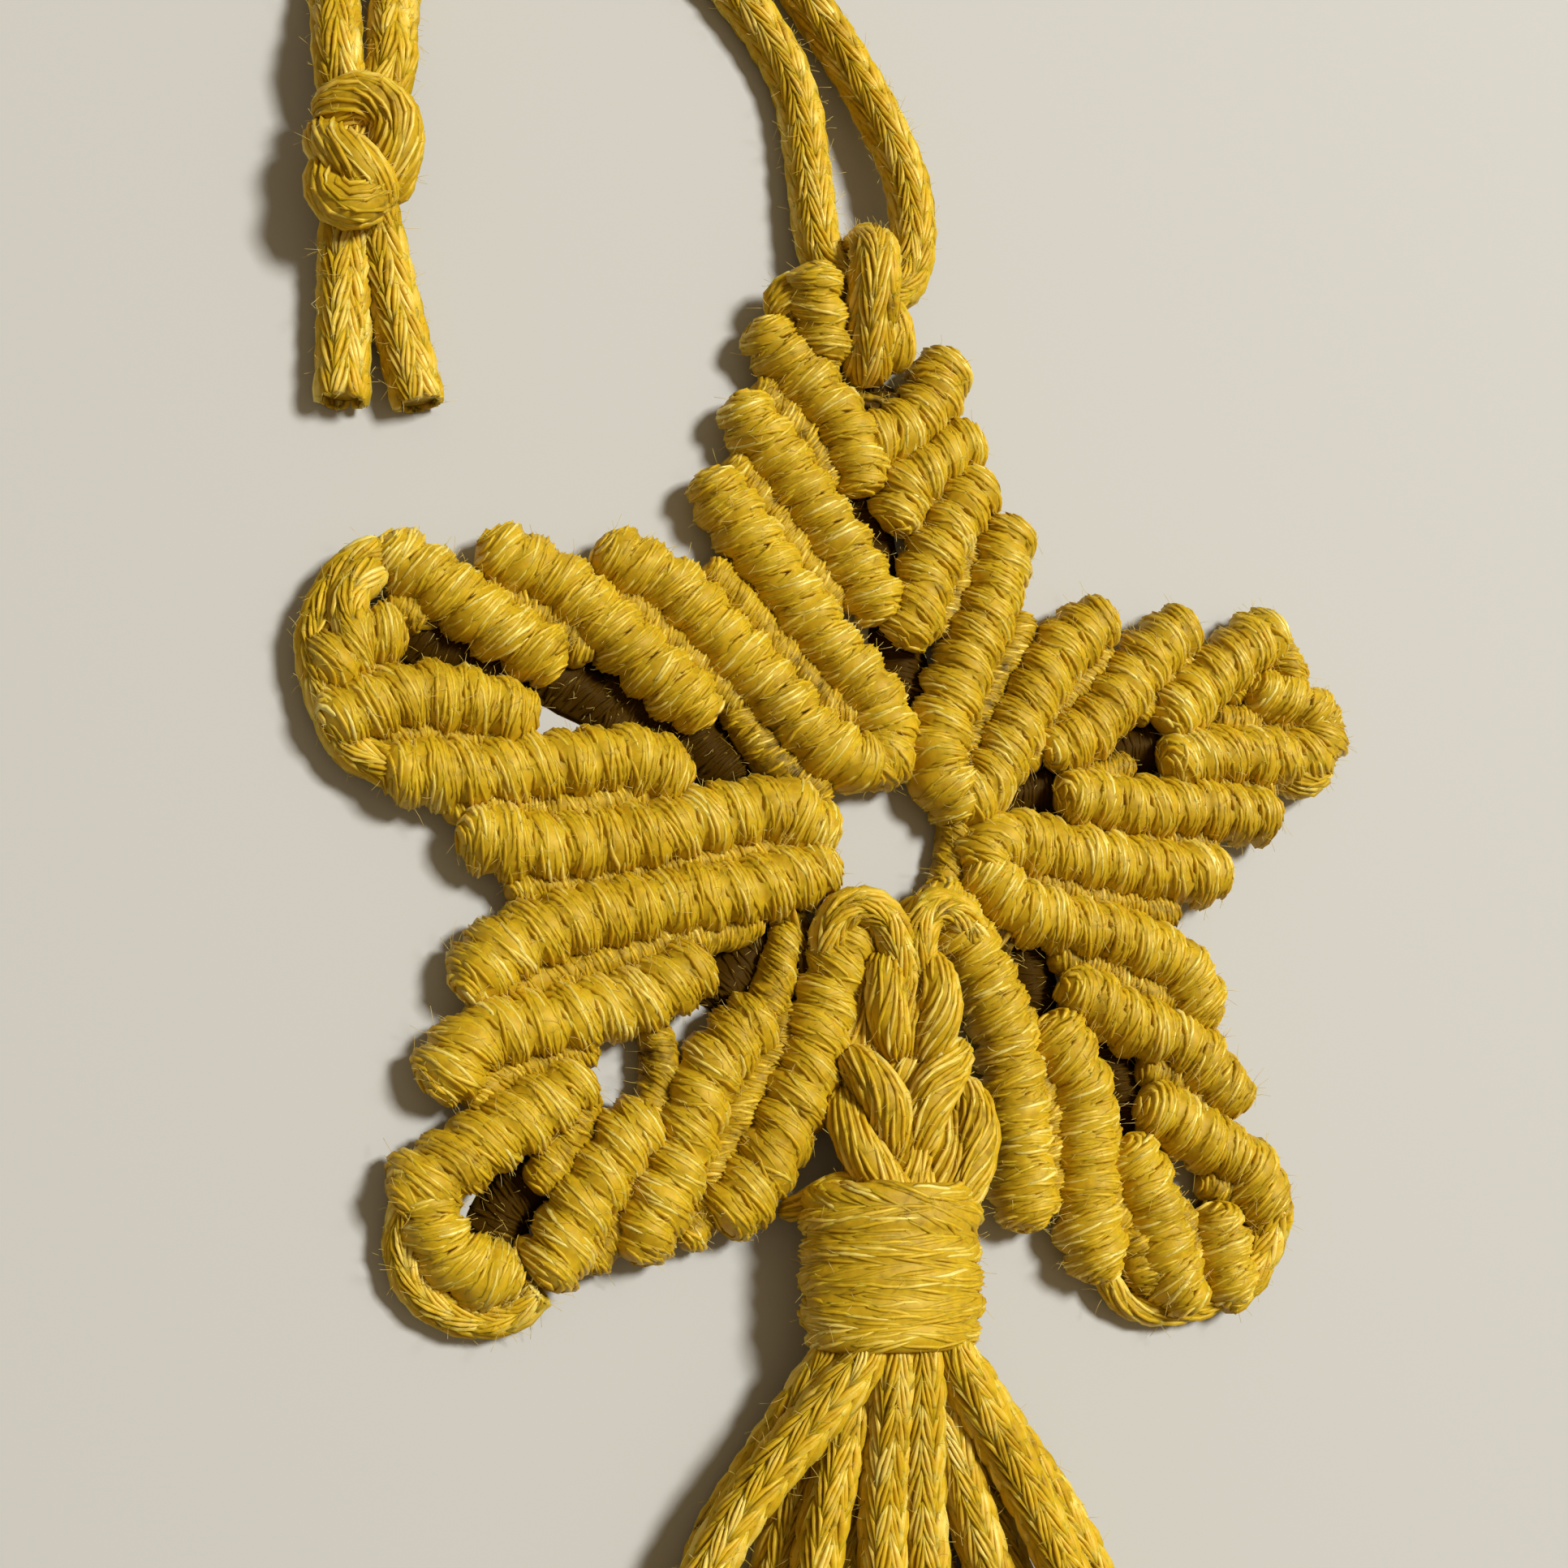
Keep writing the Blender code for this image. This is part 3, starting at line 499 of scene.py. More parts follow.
# %% Bars: name, radius, way of wrapping, route in plan (a few points have a height)
BARS = (
    ("top left 1", 2.1, -1, ((-1.8, 32.4), (1.5, 29.3), (4.0, 26.5), (5.3, 23.2))),
    ("top left 2", 2.1, -1, ((-3.6, 26.3), (-1.0, 23.2), (1.8, 19.9), (4.2, 16.7), (6.3, 13.7))),
    ("top left 3", 2.1, -1, ((-5.9, 20.4), (-3.0, 16.7), (0.1, 12.9), (3.2, 9.4), (5.9, 6.6),
     (7.2, 3.6), (6.6, 1.7))),
    ("top right 1", 2.1, -1, ((12.1, 32.0), (10.6, 28.9), (8.4, 26.8), (6.6, 25.8))),
    ("top right 2", 2.0, -1, ((13.5, 26.4), (10.9, 24.4), (8.9, 22.6), (8.3, 20.7))),
    ("top right 3", 2.1, -1, ((14.4, 23.0), (12.2, 19.4), (10.4, 15.6), (9.1, 12.0))),
    ("top right 4", 2.15, -1, ((17.1, 19.4), (15.5, 14.2), (12.9, 8.3), (11.1, 3.2), (11.2, 1.0),
     (12.4, -0.4))),
    ("right upper 1", 2.1, -1, ((24.4, 13.7), (21.0, 10.5), (18.0, 6.0), (15.5, 1.6),
     (13.4, -0.7))),
    ("right upper 2", 2.1, -1, ((31.6, 13.7), (28.8, 11.2), (26.0, 7.9), (23.4, 5.3),
     (21.3, 3.9))),
    ("right upper 3", 2.1, -1, ((39.6, 14.2), (36.8, 12.2), (33.8, 9.8), (31.2, 7.3))),
    ("right tip", 1.9, -1, ((39.4, 9.4), (42.0, 9.0), (44.2, 8.2))),
    ("right lower 1", 2.1, 1, ((31.6, 3.7), (35.5, 4.3), (40.0, 4.4), (43.2, 5.0), (44.5, 6.6))),
    ("right lower 2", 2.1, 1, ((22.5, 0.2), (27.0, -0.3), (32.5, -0.1), (38.2, -0.2))),
    ("right lower 3", 2.15, 1, ((14.6, -4.6), (15.8, -3.7), (19.0, -3.7), (24.5, -4.6),
     (29.0, -4.9), (33.4, -5.0))),
    ("low right outer 1", 2.1, 1, ((14.9, -5.9), (17.0, -8.2), (21.5, -9.4), (26.5, -10.4),
     (30.6, -12.2), (32.2, -15.0))),
    ("low right outer 2", 2.1, 1, ((22.2, -14.4), (26.0, -16.3), (30.8, -18.0), (34.2, -21.3))),
    ("low right outer 3", 2.1, 1, ((28.4, -22.7), (31.5, -24.4), (35.2, -26.4), (37.2, -29.2))),
    ("low right inner 1", 2.2, 1, ((11.0, -8.6), (13.6, -12.0), (15.8, -17.0), (16.7, -22.0),
     (17.0, -26.0), (17.3, -29.4))),
    ("low right inner 2", 2.2, 1, ((20.3, -17.6), (22.1, -21.5), (22.3, -26.0), (22.2, -30.0),
     (22.8, -33.0))),
    ("low right inner 3", 2.1, 1, ((26.2, -26.3), (27.6, -29.4), (28.4, -32.4), (29.6, -35.4))),
    ("low right tip", 2.0, 1, ((33.0, -31.0), (33.8, -35.0))),
    ("low left outer 1", 2.2, 1, ((1.3, -6.5), (-3.5, -8.1), (-9.5, -9.3), (-15.5, -10.7),
     (-20.0, -12.6), (-22.4, -14.6))),
    ("low left outer 2", 2.15, 1, ((-8.0, -14.0), (-11.5, -15.9), (-16.8, -17.4), (-21.8, -18.6),
     (-24.2, -21.0))),
    ("low left outer 3", 2.15, 1, ((-16.2, -22.0), (-19.6, -24.1), (-23.0, -26.3),
     (-26.0, -28.3))),
    ("low left inner 1", 2.2, -1, ((4.3, -9.8), (3.2, -13.0), (1.6, -17.6), (0.0, -22.0),
     (-2.0, -26.0), (-4.5, -29.5))),
    ("low left inner 2", 2.1, -1, ((-3.6, -17.4), (-6.3, -20.6), (-7.7, -24.0), (-9.0, -27.6),
     (-10.9, -31.4))),
    ("low left inner 3", 2.1, -1, ((-11.6, -24.4), (-13.6, -26.9), (-15.4, -29.8),
     (-16.9, -32.9))),
    ("low left tip", 1.9, -1, ((-25.3, -29.4), (-24.2, -31.9), (-22.0, -33.5), (-20.7, -33.7))),
    ("left lower 1", 2.15, 1, ((-31.6, 2.0), (-27.5, 3.5), (-23.5, 3.5), (-20.6, 2.8))),
    ("left lower 2", 2.15, 1, ((-27.4, -1.5), (-23.0, -1.3), (-17.5, -0.4), (-12.5, 0.4),
     (-9.6, -0.3))),
    ("left lower 3", 2.2, 1, ((-22.2, -5.5), (-18.0, -6.0), (-12.0, -5.0), (-6.0, -3.3),
     (-1.2, -2.4), (1.2, -3.6))),
    ("left upper 1", 2.15, -1, ((-13.2, 14.6), (-9.2, 12.9), (-5.2, 9.3), (-1.2, 5.6),
     (1.9, 2.7), (5.0, 1.5), (6.2, 1.9))),
    ("left upper 2", 2.1, -1, ((-21.4, 13.9), (-17.6, 12.5), (-14.0, 9.8), (-10.6, 7.0),
     (-7.6, 4.8))),
    ("left upper 3", 2.1, -1, ((-28.4, 12.9), (-25.4, 11.2), (-22.0, 9.1), (-18.6, 7.3))),
    ("left tip", 2.05, -1, ((-29.6, 7.5), (-31.2, 6.9), (-32.4, 5.4))),
    ("top cap", 2.0, -1, ((0.9, 36.2, 4.6), (2.1, 32.2, 3.1))),
)
print(len(BARS), "bars")

# %% [markdown]
# The surface of a bar is worked out first, as a function of the distance along it and the
# angle round it. Every turn bulges, so there is a groove between two turns. The ends close
# in round domes, slow lumps keep it from looking machined, and where the cords leave the
# underside, the bar is a little wider. The bed and all the plies are then laid on it.

# %% The surface of a wrapped bar
def drawn_out(points, ends):
    """A route that goes on for `ends` mm past both of its ends."""
    line = smooth_route(points, 0.25)
    first = line[0] + unit(line[0] - line[1]) * ends
    last = line[-1] + unit(line[-1] - line[-2]) * ends
    inner = line[2:-2:4] if len(line) > 12 else line[[0, -1]]
    return smooth_route((first, line[0], *inner, line[-1], last), 0.25)


def wound(line, radius, hand, turn=TURN, squash=1.0, blunt=0.18, rounding=None, start=0.0,
          skirt=SKIRT, ridge=RIDGE, slant=0.0):
    """A function that finds points on the turns of cord round a line. `hand` is 1 or -1 for
    the two ways of winding, and `blunt` is how thick the bar still is at its very ends."""
    distance = measure(line)
    along, up, side = directions(line)
    rounding = rounding or radius * 0.95
    lumps = draw.uniform(0, 2 * math.pi, 3)

    def place(s, angle, proud):
        """The point at distance s and this angle, `proud` of the turns, and its outward."""
        s = np.clip(s, 0.0, distance[-1])
        within = (s / turn - hand * angle / (2 * math.pi) + start) % 1.0 - 0.5
        end = np.minimum(s, distance[-1] - s) / rounding
        dome = np.sqrt(np.clip(1 - (1 - np.clip(end, 0, 1)) ** 2, 0.0, 1))
        swell = (0.06 * np.sin(1.3 * s + lumps[0]) + 0.05 * np.sin(2 * angle + 0.9 * s + lumps[1])
                 + 0.04 * np.sin(3 * angle - 2.1 * s + lumps[2]))
        reach = radius * (blunt + (1 - blunt) * dome) + swell + proud
        turned_down = np.abs((angle + math.pi) % (2 * math.pi) - math.pi)
        low = np.clip(turned_down - 1.1, 0, 1)      # 0 on top, 1 on the underside
        # Across a turn the surface is nearly a half circle, flatter at the bar's ends.
        depth = ridge * (0.7 + 0.1 * low) * (0.4 + 0.6 * dome)
        reach = reach - depth * (1 - np.sqrt(1 - 3.4 * within ** 2))
        wide = 1 + skirt * low ** 2 * (3 - 2 * low)
        outward = (squash * np.cos(angle)[..., None] * read_off(up, distance, s)
                   + (wide * np.sin(angle))[..., None] * read_off(side, distance, s))
        shift = slant * radius * np.sin(angle) * np.sin(math.pi * s / distance[-1])
        centre = read_off(line, distance, s) + shift[..., None] * read_off(along, distance, s)
        return centre + reach[..., None] * outward, unit(outward)

    return place


# %% The bed under the plies
def tube_grid(points, tint):
    """A batch for one closed tube from rings of points, (rings, sides, 3)."""
    rings, sides = points.shape[:2]
    index = np.arange(rings * sides).reshape(rings, sides)
    here, there = index[:-1], index[1:]
    walls = np.stack([here, there, np.roll(there, -1, 1), np.roll(here, -1, 1)], -1)
    return {"points": points.reshape(-1, 3), "tint": np.full(rings * sides, tint),
            "faces": (walls.reshape(-1, 4), np.stack([index[0], index[-1, ::-1]]))}


def bed_of(place, long, turn, sides, shade):
    """A closed ridged tube just under the surface of a bar that is `long` mm long."""
    rings = np.minimum(np.arange(0.0, long + 0.2, turn / 6), long)
    ring_s, ring_angle = np.meshgrid(rings, -2 * math.pi * np.arange(sides) / sides,
                                     indexing="ij")
    return tube_grid(place(ring_s, ring_angle, -BED)[0], shade)


# %% The plies on a wrapped bar
MOST_TURNS = 64         # of any bar, to give each turn of cord a lean and a shade
# How much darker the bed is than its plies: a painted shade for the gaps between them.
BED_PAINTED_SHADE = 0.16


def ply_starts(long, length, turn, tracks, start, seen):
    """Where each ply's middle is, in turns and in mm, and which track of a turn it is in.
    Plies that face down by more than `seen` radians are left out."""
    step = length * STROKE_STEP / STROKE
    starts, track = [grid.ravel() for grid in np.meshgrid(
        np.arange(-1.0, long / turn + 1.0, step), np.arange(tracks), indexing="ij")]
    starts = starts + step * 0.5 * (track % 2) + draw.normal(0, 0.18 * step, len(starts))
    lateral = (track + 0.5) / tracks - 0.5
    middle = (starts + lateral + 0.5 - start) * turn
    facing = (starts * 2 * math.pi + math.pi) % (2 * math.pi) - math.pi
    kept = (middle > 0.1) & (middle < long - 0.1) & (np.abs(facing) < seen)
    return [values[kept, None] for values in (starts, middle, track, lateral)]


def wrapped(points, radius, hand, tracks=TURN_PLIES, overhang=0.8, sides=16, seen=2.3,
            shade=0.02, **shape):
    """Batches for a core wrapped with knitted cord: short silky plies on a ridged bed.
    `shape` is what `wound` takes, and `shade` is how light the plies are."""
    turn, start = shape.get("turn", TURN), shape.get("start", 0.0)
    line = drawn_out(points, radius * overhang)
    long = measure(line)[-1]
    place = wound(line, radius, hand, **shape)
    # The bed gets a painted shade: it is darker than the plies on it.
    bed = bed_of(place, long, turn, sides, shade - BED_PAINTED_SHADE)

    around = 2 * math.pi * radius
    length = min(STROKE, 1.9 * radius) / around
    starts, middle, track, lateral = ply_starts(long, length, turn, tracks, start, seen)
    t = np.linspace(-0.5, 0.5, ARM_STEPS + 1)
    hump = np.cos(math.pi * t) ** 0.6
    own_turn = np.floor(starts).astype(int) % MOST_TURNS
    # A ply isn't quite square to the bar: two in a row make a slight V, and some lean more.
    lean = (0.05 * (2 * (track % 2) - 1) + draw.normal(0, 0.05, starts.shape)
            + draw.normal(0, 0.09, MOST_TURNS)[own_turn])
    sway = draw.normal(0, 0.08, starts.shape) * np.sin(2 * math.pi * t)
    s = middle + length * around * t * lean + turn * length * t + sway
    angle = hand * 2 * math.pi * (starts + length * t)
    proud = TUCKED + BULGE * hump + draw.normal(0, 0.035, starts.shape) * hump
    paths, outward = place(s, angle, proud)
    thick = 0.66 * turn / tracks * (0.5 + 0.5 * hump)
    # Each ply has its own shade, and each turn too. Plies at the sides of a turn, in the groove
    # between turns, are darker: a painted shade for the groove. None is so dark that it looks like
    # a hole.
    tint = (draw.normal(shade, 0.15, len(paths))
            + draw.normal(0, 0.06, MOST_TURNS)[own_turn[:, 0]] - 1.1 * lateral[:, 0] ** 2)
    return [sweep(paths, outward, thick[None], np.maximum(tint, shade - 0.2)), bed]


# %% Wrap the bars, and keep their routes for the valleys
def raised(points, height):
    """A route in plan, put at this height; points that have their own height keep it."""
    return [p if len(p) == 3 else (*p, height) for p in points]


POINTS = ("top", "right", "low right", "low left", "left")
routes = {}
for point in POINTS:
    batches = []
    for name, radius, hand, points in BARS:
        if name.startswith(point):
            batches += wrapped(raised(points, BAR_HEIGHT), radius + FATTER, hand)
            routes[name] = smooth_route([(*p[:2], BAR_HEIGHT) for p in points], 0.5)
    yarn_piece("bars_" + point.replace(" ", "_"), "star", batches, cord_cotton)

# %% [markdown]
# ## Cords in the valleys
# Each working cord comes out from under one row and goes into the next. From above they
# fill the valleys between the bars, a little lower than the bars themselves, and darker: a
# painted shade for the valleys.
# They are made as low rows of their own, wrapped in the same way: a loop finds the line
# halfway between each bar and its neighbour, wherever the two are close enough.

# %% Valley cords
CHAINS = (              # each bar is a neighbour of the next
    ("top left 1", "top left 2", "top left 3", "left upper 1"),
    ("top right 1", "top right 2", "top right 3", "top right 4", "right upper 1",
     "right upper 2", "right upper 3", "right tip", "right lower 1", "right lower 2",
     "right lower 3", "low right outer 1", "low right outer 2", "low right outer 3",
     "low right tip"),
    ("low right inner 1", "low right inner 2", "low right inner 3", "low right tip"),
    ("low left inner 1", "low left inner 2", "low left inner 3", "low left tip"),
    ("low left outer 1", "low left outer 2", "low left outer 3", "low left tip"),
    ("left lower 3", "low left outer 1"), ("left lower 2", "left lower 3"),
    ("left lower 1", "left lower 2"), ("left tip", "left lower 1"), ("left upper 3", "left tip"),
    ("left upper 2", "left upper 3"), ("left upper 1", "left upper 2"),
)
NEIGHBOURS = [pair for chain in CHAINS for pair in zip(chain, chain[1:])]
VALLEY_REACH = (3.6, 7.6)   # how far apart two bars' centres may be
VALLEY_STEP = 1.2       # least distance from one point of a valley's route to the next
VALLEY_HEIGHT = 1.5
VALLEY_RADIUS = 1.35
print(len(NEIGHBOURS), "pairs of neighbours")
valley = []
for one, other in NEIGHBOURS:
    near, far = routes[one], routes[other]
    middles = []
    for spot in near[::3]:
        away = np.linalg.norm(far - spot, axis=1)
        if VALLEY_REACH[0] < away.min() < VALLEY_REACH[1]:
            middle = (spot + far[away.argmin()]) / 2
            if not middles or np.linalg.norm(middle[:2] - middles[-1][:2]) > VALLEY_STEP:
                middles.append(np.array((middle[0], middle[1], VALLEY_HEIGHT)))
    if len(middles) > 1:
        # shade=-0.1 darkens the valley rows: a painted shade.
        valley += wrapped(middles, VALLEY_RADIUS, 1, overhang=0.0, blunt=0.5, sides=12, seen=1.1,
                          ridge=0.2, shade=-0.1)
yarn_piece("valley_cords", "star", valley, cord_cotton)

# %% [markdown]
# ## Bare cords of the star
# Some cords show bare: where they turn round a point's tip, in the loop at the top, and in
# the strip of knots down the middle. Those that are slack are knitted, so they are made of V
# stitches. A tight one has its plies drawn out along it, and swells in the middle like a leaf
# where it leaves a knot. The core cords under the rows, and the cords at the bottom of the
# gaps, hardly show: they are the same yarn, only darker, which is a painted shade.

# %% Core cords under the rows, seen from above
LINK_RADIUS = 1.25      # and they lie on the ground
LINKS = (
    ((-0.4, 31.2), (-0.6, 22.7), (-1.6, 15.0), (-5.6, 9.8)),
    ((2.4, 28.6), (5.2, 28.4), (9.6, 28.4), (10.9, 24.3), (11.6, 18.2), (13.9, 10.4), (17.6, 5.6)),
    ((19.6, 8.5), (26.4, 8.4), (34.8, 10.6), (41.0, 9.8)),
    ((43.8, 8.6), (38.8, 4.4), (30.4, -0.2), (25.0, -4.6), (24.4, -10.0)),
    ((26.0, -10.4), (29.4, -17.6), (33.4, -25.4), (33.0, -32.4)),
    ((17.0, -8.2), (15.0, -15.0), (22.2, -22.6), (27.4, -29.0), (33.0, -33.2)),
    ((-12.0, -4.9), (-14.6, -10.6), (-17.6, -17.6), (-20.6, -24.0)),
    ((-1.6, -7.4), (1.8, -16.6), (-7.2, -22.6), (-14.4, -27.6)),
    ((-31.4, 6.9), (-26.6, 3.4), (-19.4, -0.8), (-15.4, -5.6)),
    ((-31.4, 6.9), (-24.4, 10.6), (-15.6, 11.0), (-7.4, 11.3)),
)

# %% Slack cords: radius and route
SLACK = (
    (1.8, ((5.9, 31.2, 1.8), (5.5, 32.2, 3.4), (5.1, 34.2, 4.9), (4.9, 36.8, 6.1),
     (5.2, 39.2, 5.3), (5.5, 40.3, 3.2), (5.4, 39.4, 1.5), (5.3, 36.0, 1.3))),
    (1.3, ((-29.6, 13.2, 2.6), (-31.6, 11.8, 2.2), (-33.0, 9.4, 1.9), (-33.6, 6.8, 1.8),
     (-33.2, 4.4, 1.7), (-32.2, 1.8, 1.7), (-31.0, -0.2, 1.8), (-28.4, -1.4, 2.2))),
    (1.3, ((-30.0, 12.0, 2.6), (-31.6, 10.2, 2.8), (-31.9, 8.4, 3.0), (-31.2, 6.8, 3.0))),
    (1.15, ((-26.2, -28.6, 2.2), (-26.7, -31.4, 1.4), (-26.0, -34.0, 1.2), (-24.2, -35.7, 1.2),
     (-21.7, -36.5, 1.2), (-19.4, -36.2, 1.2), (-17.9, -34.8, 1.8))),
    (1.5, ((33.2, -36.2, 1.8), (35.6, -34.4, 1.7), (37.2, -32.0, 1.8), (37.8, -29.6, 2.2))),
    (1.35, ((2.0, -12.4, 2.6), (2.4, -10.1, 3.6), (3.9, -9.1, 4.2), (5.7, -9.9, 4.4),
     (6.7, -12.2, 4.2), (7.5, -14.6, 3.4), (7.9, -18.0, 2.6))),
    (1.35, ((13.7, -12.0, 2.8), (12.1, -9.7, 3.6), (10.0, -8.9, 4.2), (8.5, -10.0, 4.4),
     (8.3, -12.1, 4.0), (8.5, -14.5, 3.2), (8.7, -18.0, 2.6))),
)

# %% Tight cords: radius, how leaf-shaped each is, and route
TIGHT = (
    (0.9, 0.0, ((5.3, 38.2, 0.9), (5.2, 33.0, 0.9), (5.0, 27.8, 1.2))),
    (1.7, 0.2, ((1.2, 36.6, 3.6), (-0.6, 35.6, 3.0), (-1.6, 33.8, 2.4))),
    (1.6, 0.2, ((6.4, 36.4, 3.2), (7.0, 34.6, 3.9), (7.6, 32.8, 3.5), (8.2, 31.4, 2.4))),
    (1.2, 0.0, ((0.6, 28.6, 1.2), (4.6, 27.4, 1.2), (9.4, 28.2, 1.2))),
    (1.9, 0.3, ((40.0, 3.2, 1.9), (42.8, 3.4, 1.9), (44.9, 5.4, 2.0))),
    (0.95, 0.1, ((23.4, -34.2, 2.0), (25.6, -36.4, 1.2), (28.6, -37.1, 1.1), (31.6, -36.8, 1.2),
     (33.8, -35.8, 1.5))),
    (1.7, 0.0, ((3.6, -8.4, 2.4), (4.4, -12.0, 2.2), (4.4, -20.0, 2.4), (4.6, -27.0, 4.0),
     (4.8, -30.5, 4.6))),
    (1.7, 0.0, ((9.9, -8.0, 2.4), (8.6, -12.0, 2.2), (7.8, -20.0, 2.4), (7.6, -27.0, 4.0),
     (7.6, -30.5, 4.6))),
    (1.45, 0.35, ((5.7, -12.2, 3.6), (5.5, -14.7, 4.8), (5.8, -17.0, 4.6), (7.2, -19.6, 3.2))),
    (1.5, 0.35, ((9.3, -12.0, 3.6), (9.6, -14.6, 4.8), (9.5, -17.0, 4.8), (9.0, -20.0, 3.2))),
    (1.2, 0.2, ((7.7, -13.1, 3.6), (7.6, -16.1, 3.8), (8.0, -19.8, 3.0))),
    (1.6, 0.35, ((3.2, -18.9, 3.0), (4.2, -20.9, 4.8), (5.4, -22.9, 5.2), (6.5, -26.4, 4.2))),
    (1.45, 0.3, ((2.7, -21.6, 2.8), (3.0, -24.7, 4.4), (4.4, -27.1, 5.2), (7.0, -30.0, 5.2))),
    (1.6, 0.35, ((12.2, -18.2, 3.0), (9.8, -20.9, 4.8), (8.3, -22.9, 5.2), (7.9, -26.4, 4.2))),
    (1.6, 0.3, ((11.7, -20.6, 2.8), (12.2, -23.5, 4.6), (11.9, -25.8, 5.2), (10.4, -30.0, 5.2))),
    (1.4, 0.3, ((10.0, -22.2, 3.4), (10.0, -25.5, 4.6), (9.2, -30.0, 5.0))),
    (0.85, 0.0, ((-1.2, -30.0, 1.6), (0.6, -29.2, 2.8), (2.1, -28.1, 3.6), (3.6, -28.3, 4.6))),
)

# %% Low rows in the hollows: radius, height, route in plan
HOLLOWS = (
    (1.5, 0.2, ((-28.0, 9.0), (-24.0, 7.4), (-20.3, 5.9))),
    (1.4, 0.2, ((-19.8, 7.1), (-16.4, 6.1), (-13.4, 4.6))),
    (1.5, 0.2, ((-12.8, 3.4), (-10.4, 2.3), (-8.0, 1.3))),
    (1.4, 0.3, ((-12.4, 5.4), (-9.0, 3.6))),
    (1.5, 0.3, ((-7.5, 3.6), (-4.5, 0.8))),
    (1.4, 1.3, ((-4.0, 4.4), (-1.4, 1.4), (2.0, -0.6))),
    (1.5, 0.2, ((18.4, -11.0), (19.4, -14.5))),
    (1.6, 0.2, ((9.0, 11.5), (9.2, 7.4))),
    (1.6, 0.2, ((5.8, 21.5), (7.0, 16.8))),
    (1.5, 0.4, ((3.6, 29.4), (8.4, 29.0))),
    (1.4, 0.2, ((17.5, 0.3), (21.0, 1.2))),
    (1.4, 0.2, ((25.4, -18.5), (27.0, -23.0))),
    (1.4, 0.2, ((27.6, 4.6), (30.0, 5.2))),
    (1.5, 0.2, ((-2.4, -12.0), (-4.6, -15.0))),
    (1.3, 1.5, ((-10.0, -18.2), (-9.6, -20.6), (-10.4, -23.6))),
    (1.4, 1.5, ((-0.4, -11.2), (-1.4, -14.4), (-2.4, -17.8))),
    (1.3, 1.5, ((-8.6, -11.8), (-5.6, -11.2), (-3.4, -10.4))),
    (1.5, 1.8, ((-15.2, -22.4), (-16.0, -24.9), (-17.5, -27.6))),
    (1.3, 0.2, ((-18.4, -27.8), (-20.0, -30.0), (-20.2, -32.2))),
    (1.3, 1.5, ((-14.0, -32.8), (-12.6, -30.6))),
    (1.3, 1.5, ((-7.4, -31.4), (-6.2, -29.4))),
    (1.5, 1.8, ((26.0, -32.0), (27.3, -34.6))),
    (1.3, 1.4, ((24.4, 2.2), (26.8, 2.8))),
    (1.3, 1.4, ((35.6, 7.2), (38.4, 7.4))),
    (1.2, 1.3, ((12.8, -2.4), (12.4, -5.0, 1.2), (11.8, -7.4))),
    (1.5, 2.1, ((40.6, 13.8), (41.6, 12.2), (41.8, 10.6))),
)

# %% Make the bare cords
PIT_HEIGHT = 0.5        # a row no higher than this lies at the bottom of a pit,
PIT_SINK = 1.1          # sunk by this much
PIT_WIDER = 0.7         # and pressed this much wider
THIN = 1.6              # a knitted cord under this radius has four columns, not five
bare = []
# The low rows get a painted shade. Those at the bottom of a pit are sunk, pressed wider and nearly
# black-brown, with little shine: painted shade that darkens the pit.
for radius, height, points in HOLLOWS:
    if height > PIT_HEIGHT:
        bare += wrapped(raised(points, height), radius, -1, sides=12, seen=1.5, ridge=0.3,
                        shade=-0.12)
    else:
        bare += wrapped(raised(points, height - PIT_SINK), radius + PIT_WIDER, -1, sides=12,
                        seen=1.0, ridge=0.1, shade=-0.8)
# The core cords under the rows are darker, tint -0.4: a painted shade.
for points in LINKS:
    bare += drawn(raised(points, LINK_RADIUS), LINK_RADIUS, plies=8, tint=-0.4)
for radius, points in SLACK:
    bare += knitted(points, radius, columns=4 if radius < THIN else 5)
for radius, leaf, points in TIGHT:
    bare += drawn(points, radius, leaf=leaf)
yarn_piece("bare_cords", "star", bare, cord_cotton)

# %% [markdown]
# ## The wrapped neck
# Under the star all the loose ends are gathered, and one length of cord is wound round
# them. The turns are pulled flat, so the neck is a squat drum of plies that run round it
# and rise a little to the right, with the turns as soft ridges. Its underside is flat.

# %% Neck
NECK_TOP, NECK_LENGTH, NECK_MIDDLE = (5.9, -28.0), 10.9, 4.25
neck_line = [(NECK_TOP[0], NECK_TOP[1] - NECK_LENGTH * part, NECK_MIDDLE) for part in (0, 0.5, 1)]
neck_plies = wrapped(neck_line, 6.5, 1, turn=1.95, tracks=5, squash=0.70, overhang=0.0,
                     blunt=0.82, rounding=2.6, sides=40, seen=2.0, skirt=0.0, start=0.3,
                     ridge=1.1, slant=-0.07)
yarn_piece("neck_wraps", "tassel", neck_plies, cord_cotton)

# %% [markdown]
# ## The tassel
# Twelve cut ends fan out from under the neck, some over others, and come to rest side by
# side. The routes are worked out as in the CAD, from a short table. Some way past the edge
# of the photograph each arm of a stitch has two plies instead of three, to save triangles.
# The two parts of a strand overlap a little there.

# %% Routes of the tassel strands
NECK_EXIT_Y, ROOT_DEPTH, FAN_Y, TRIM_Y = -39.2, 3.0, -50.0, -94.0
SPREAD, DROP_LENGTH = 1.5, 9.0
COARSER_Y = -58.0       # from here on the stitches have fewer plies
OVERLAP = 6             # points of the route
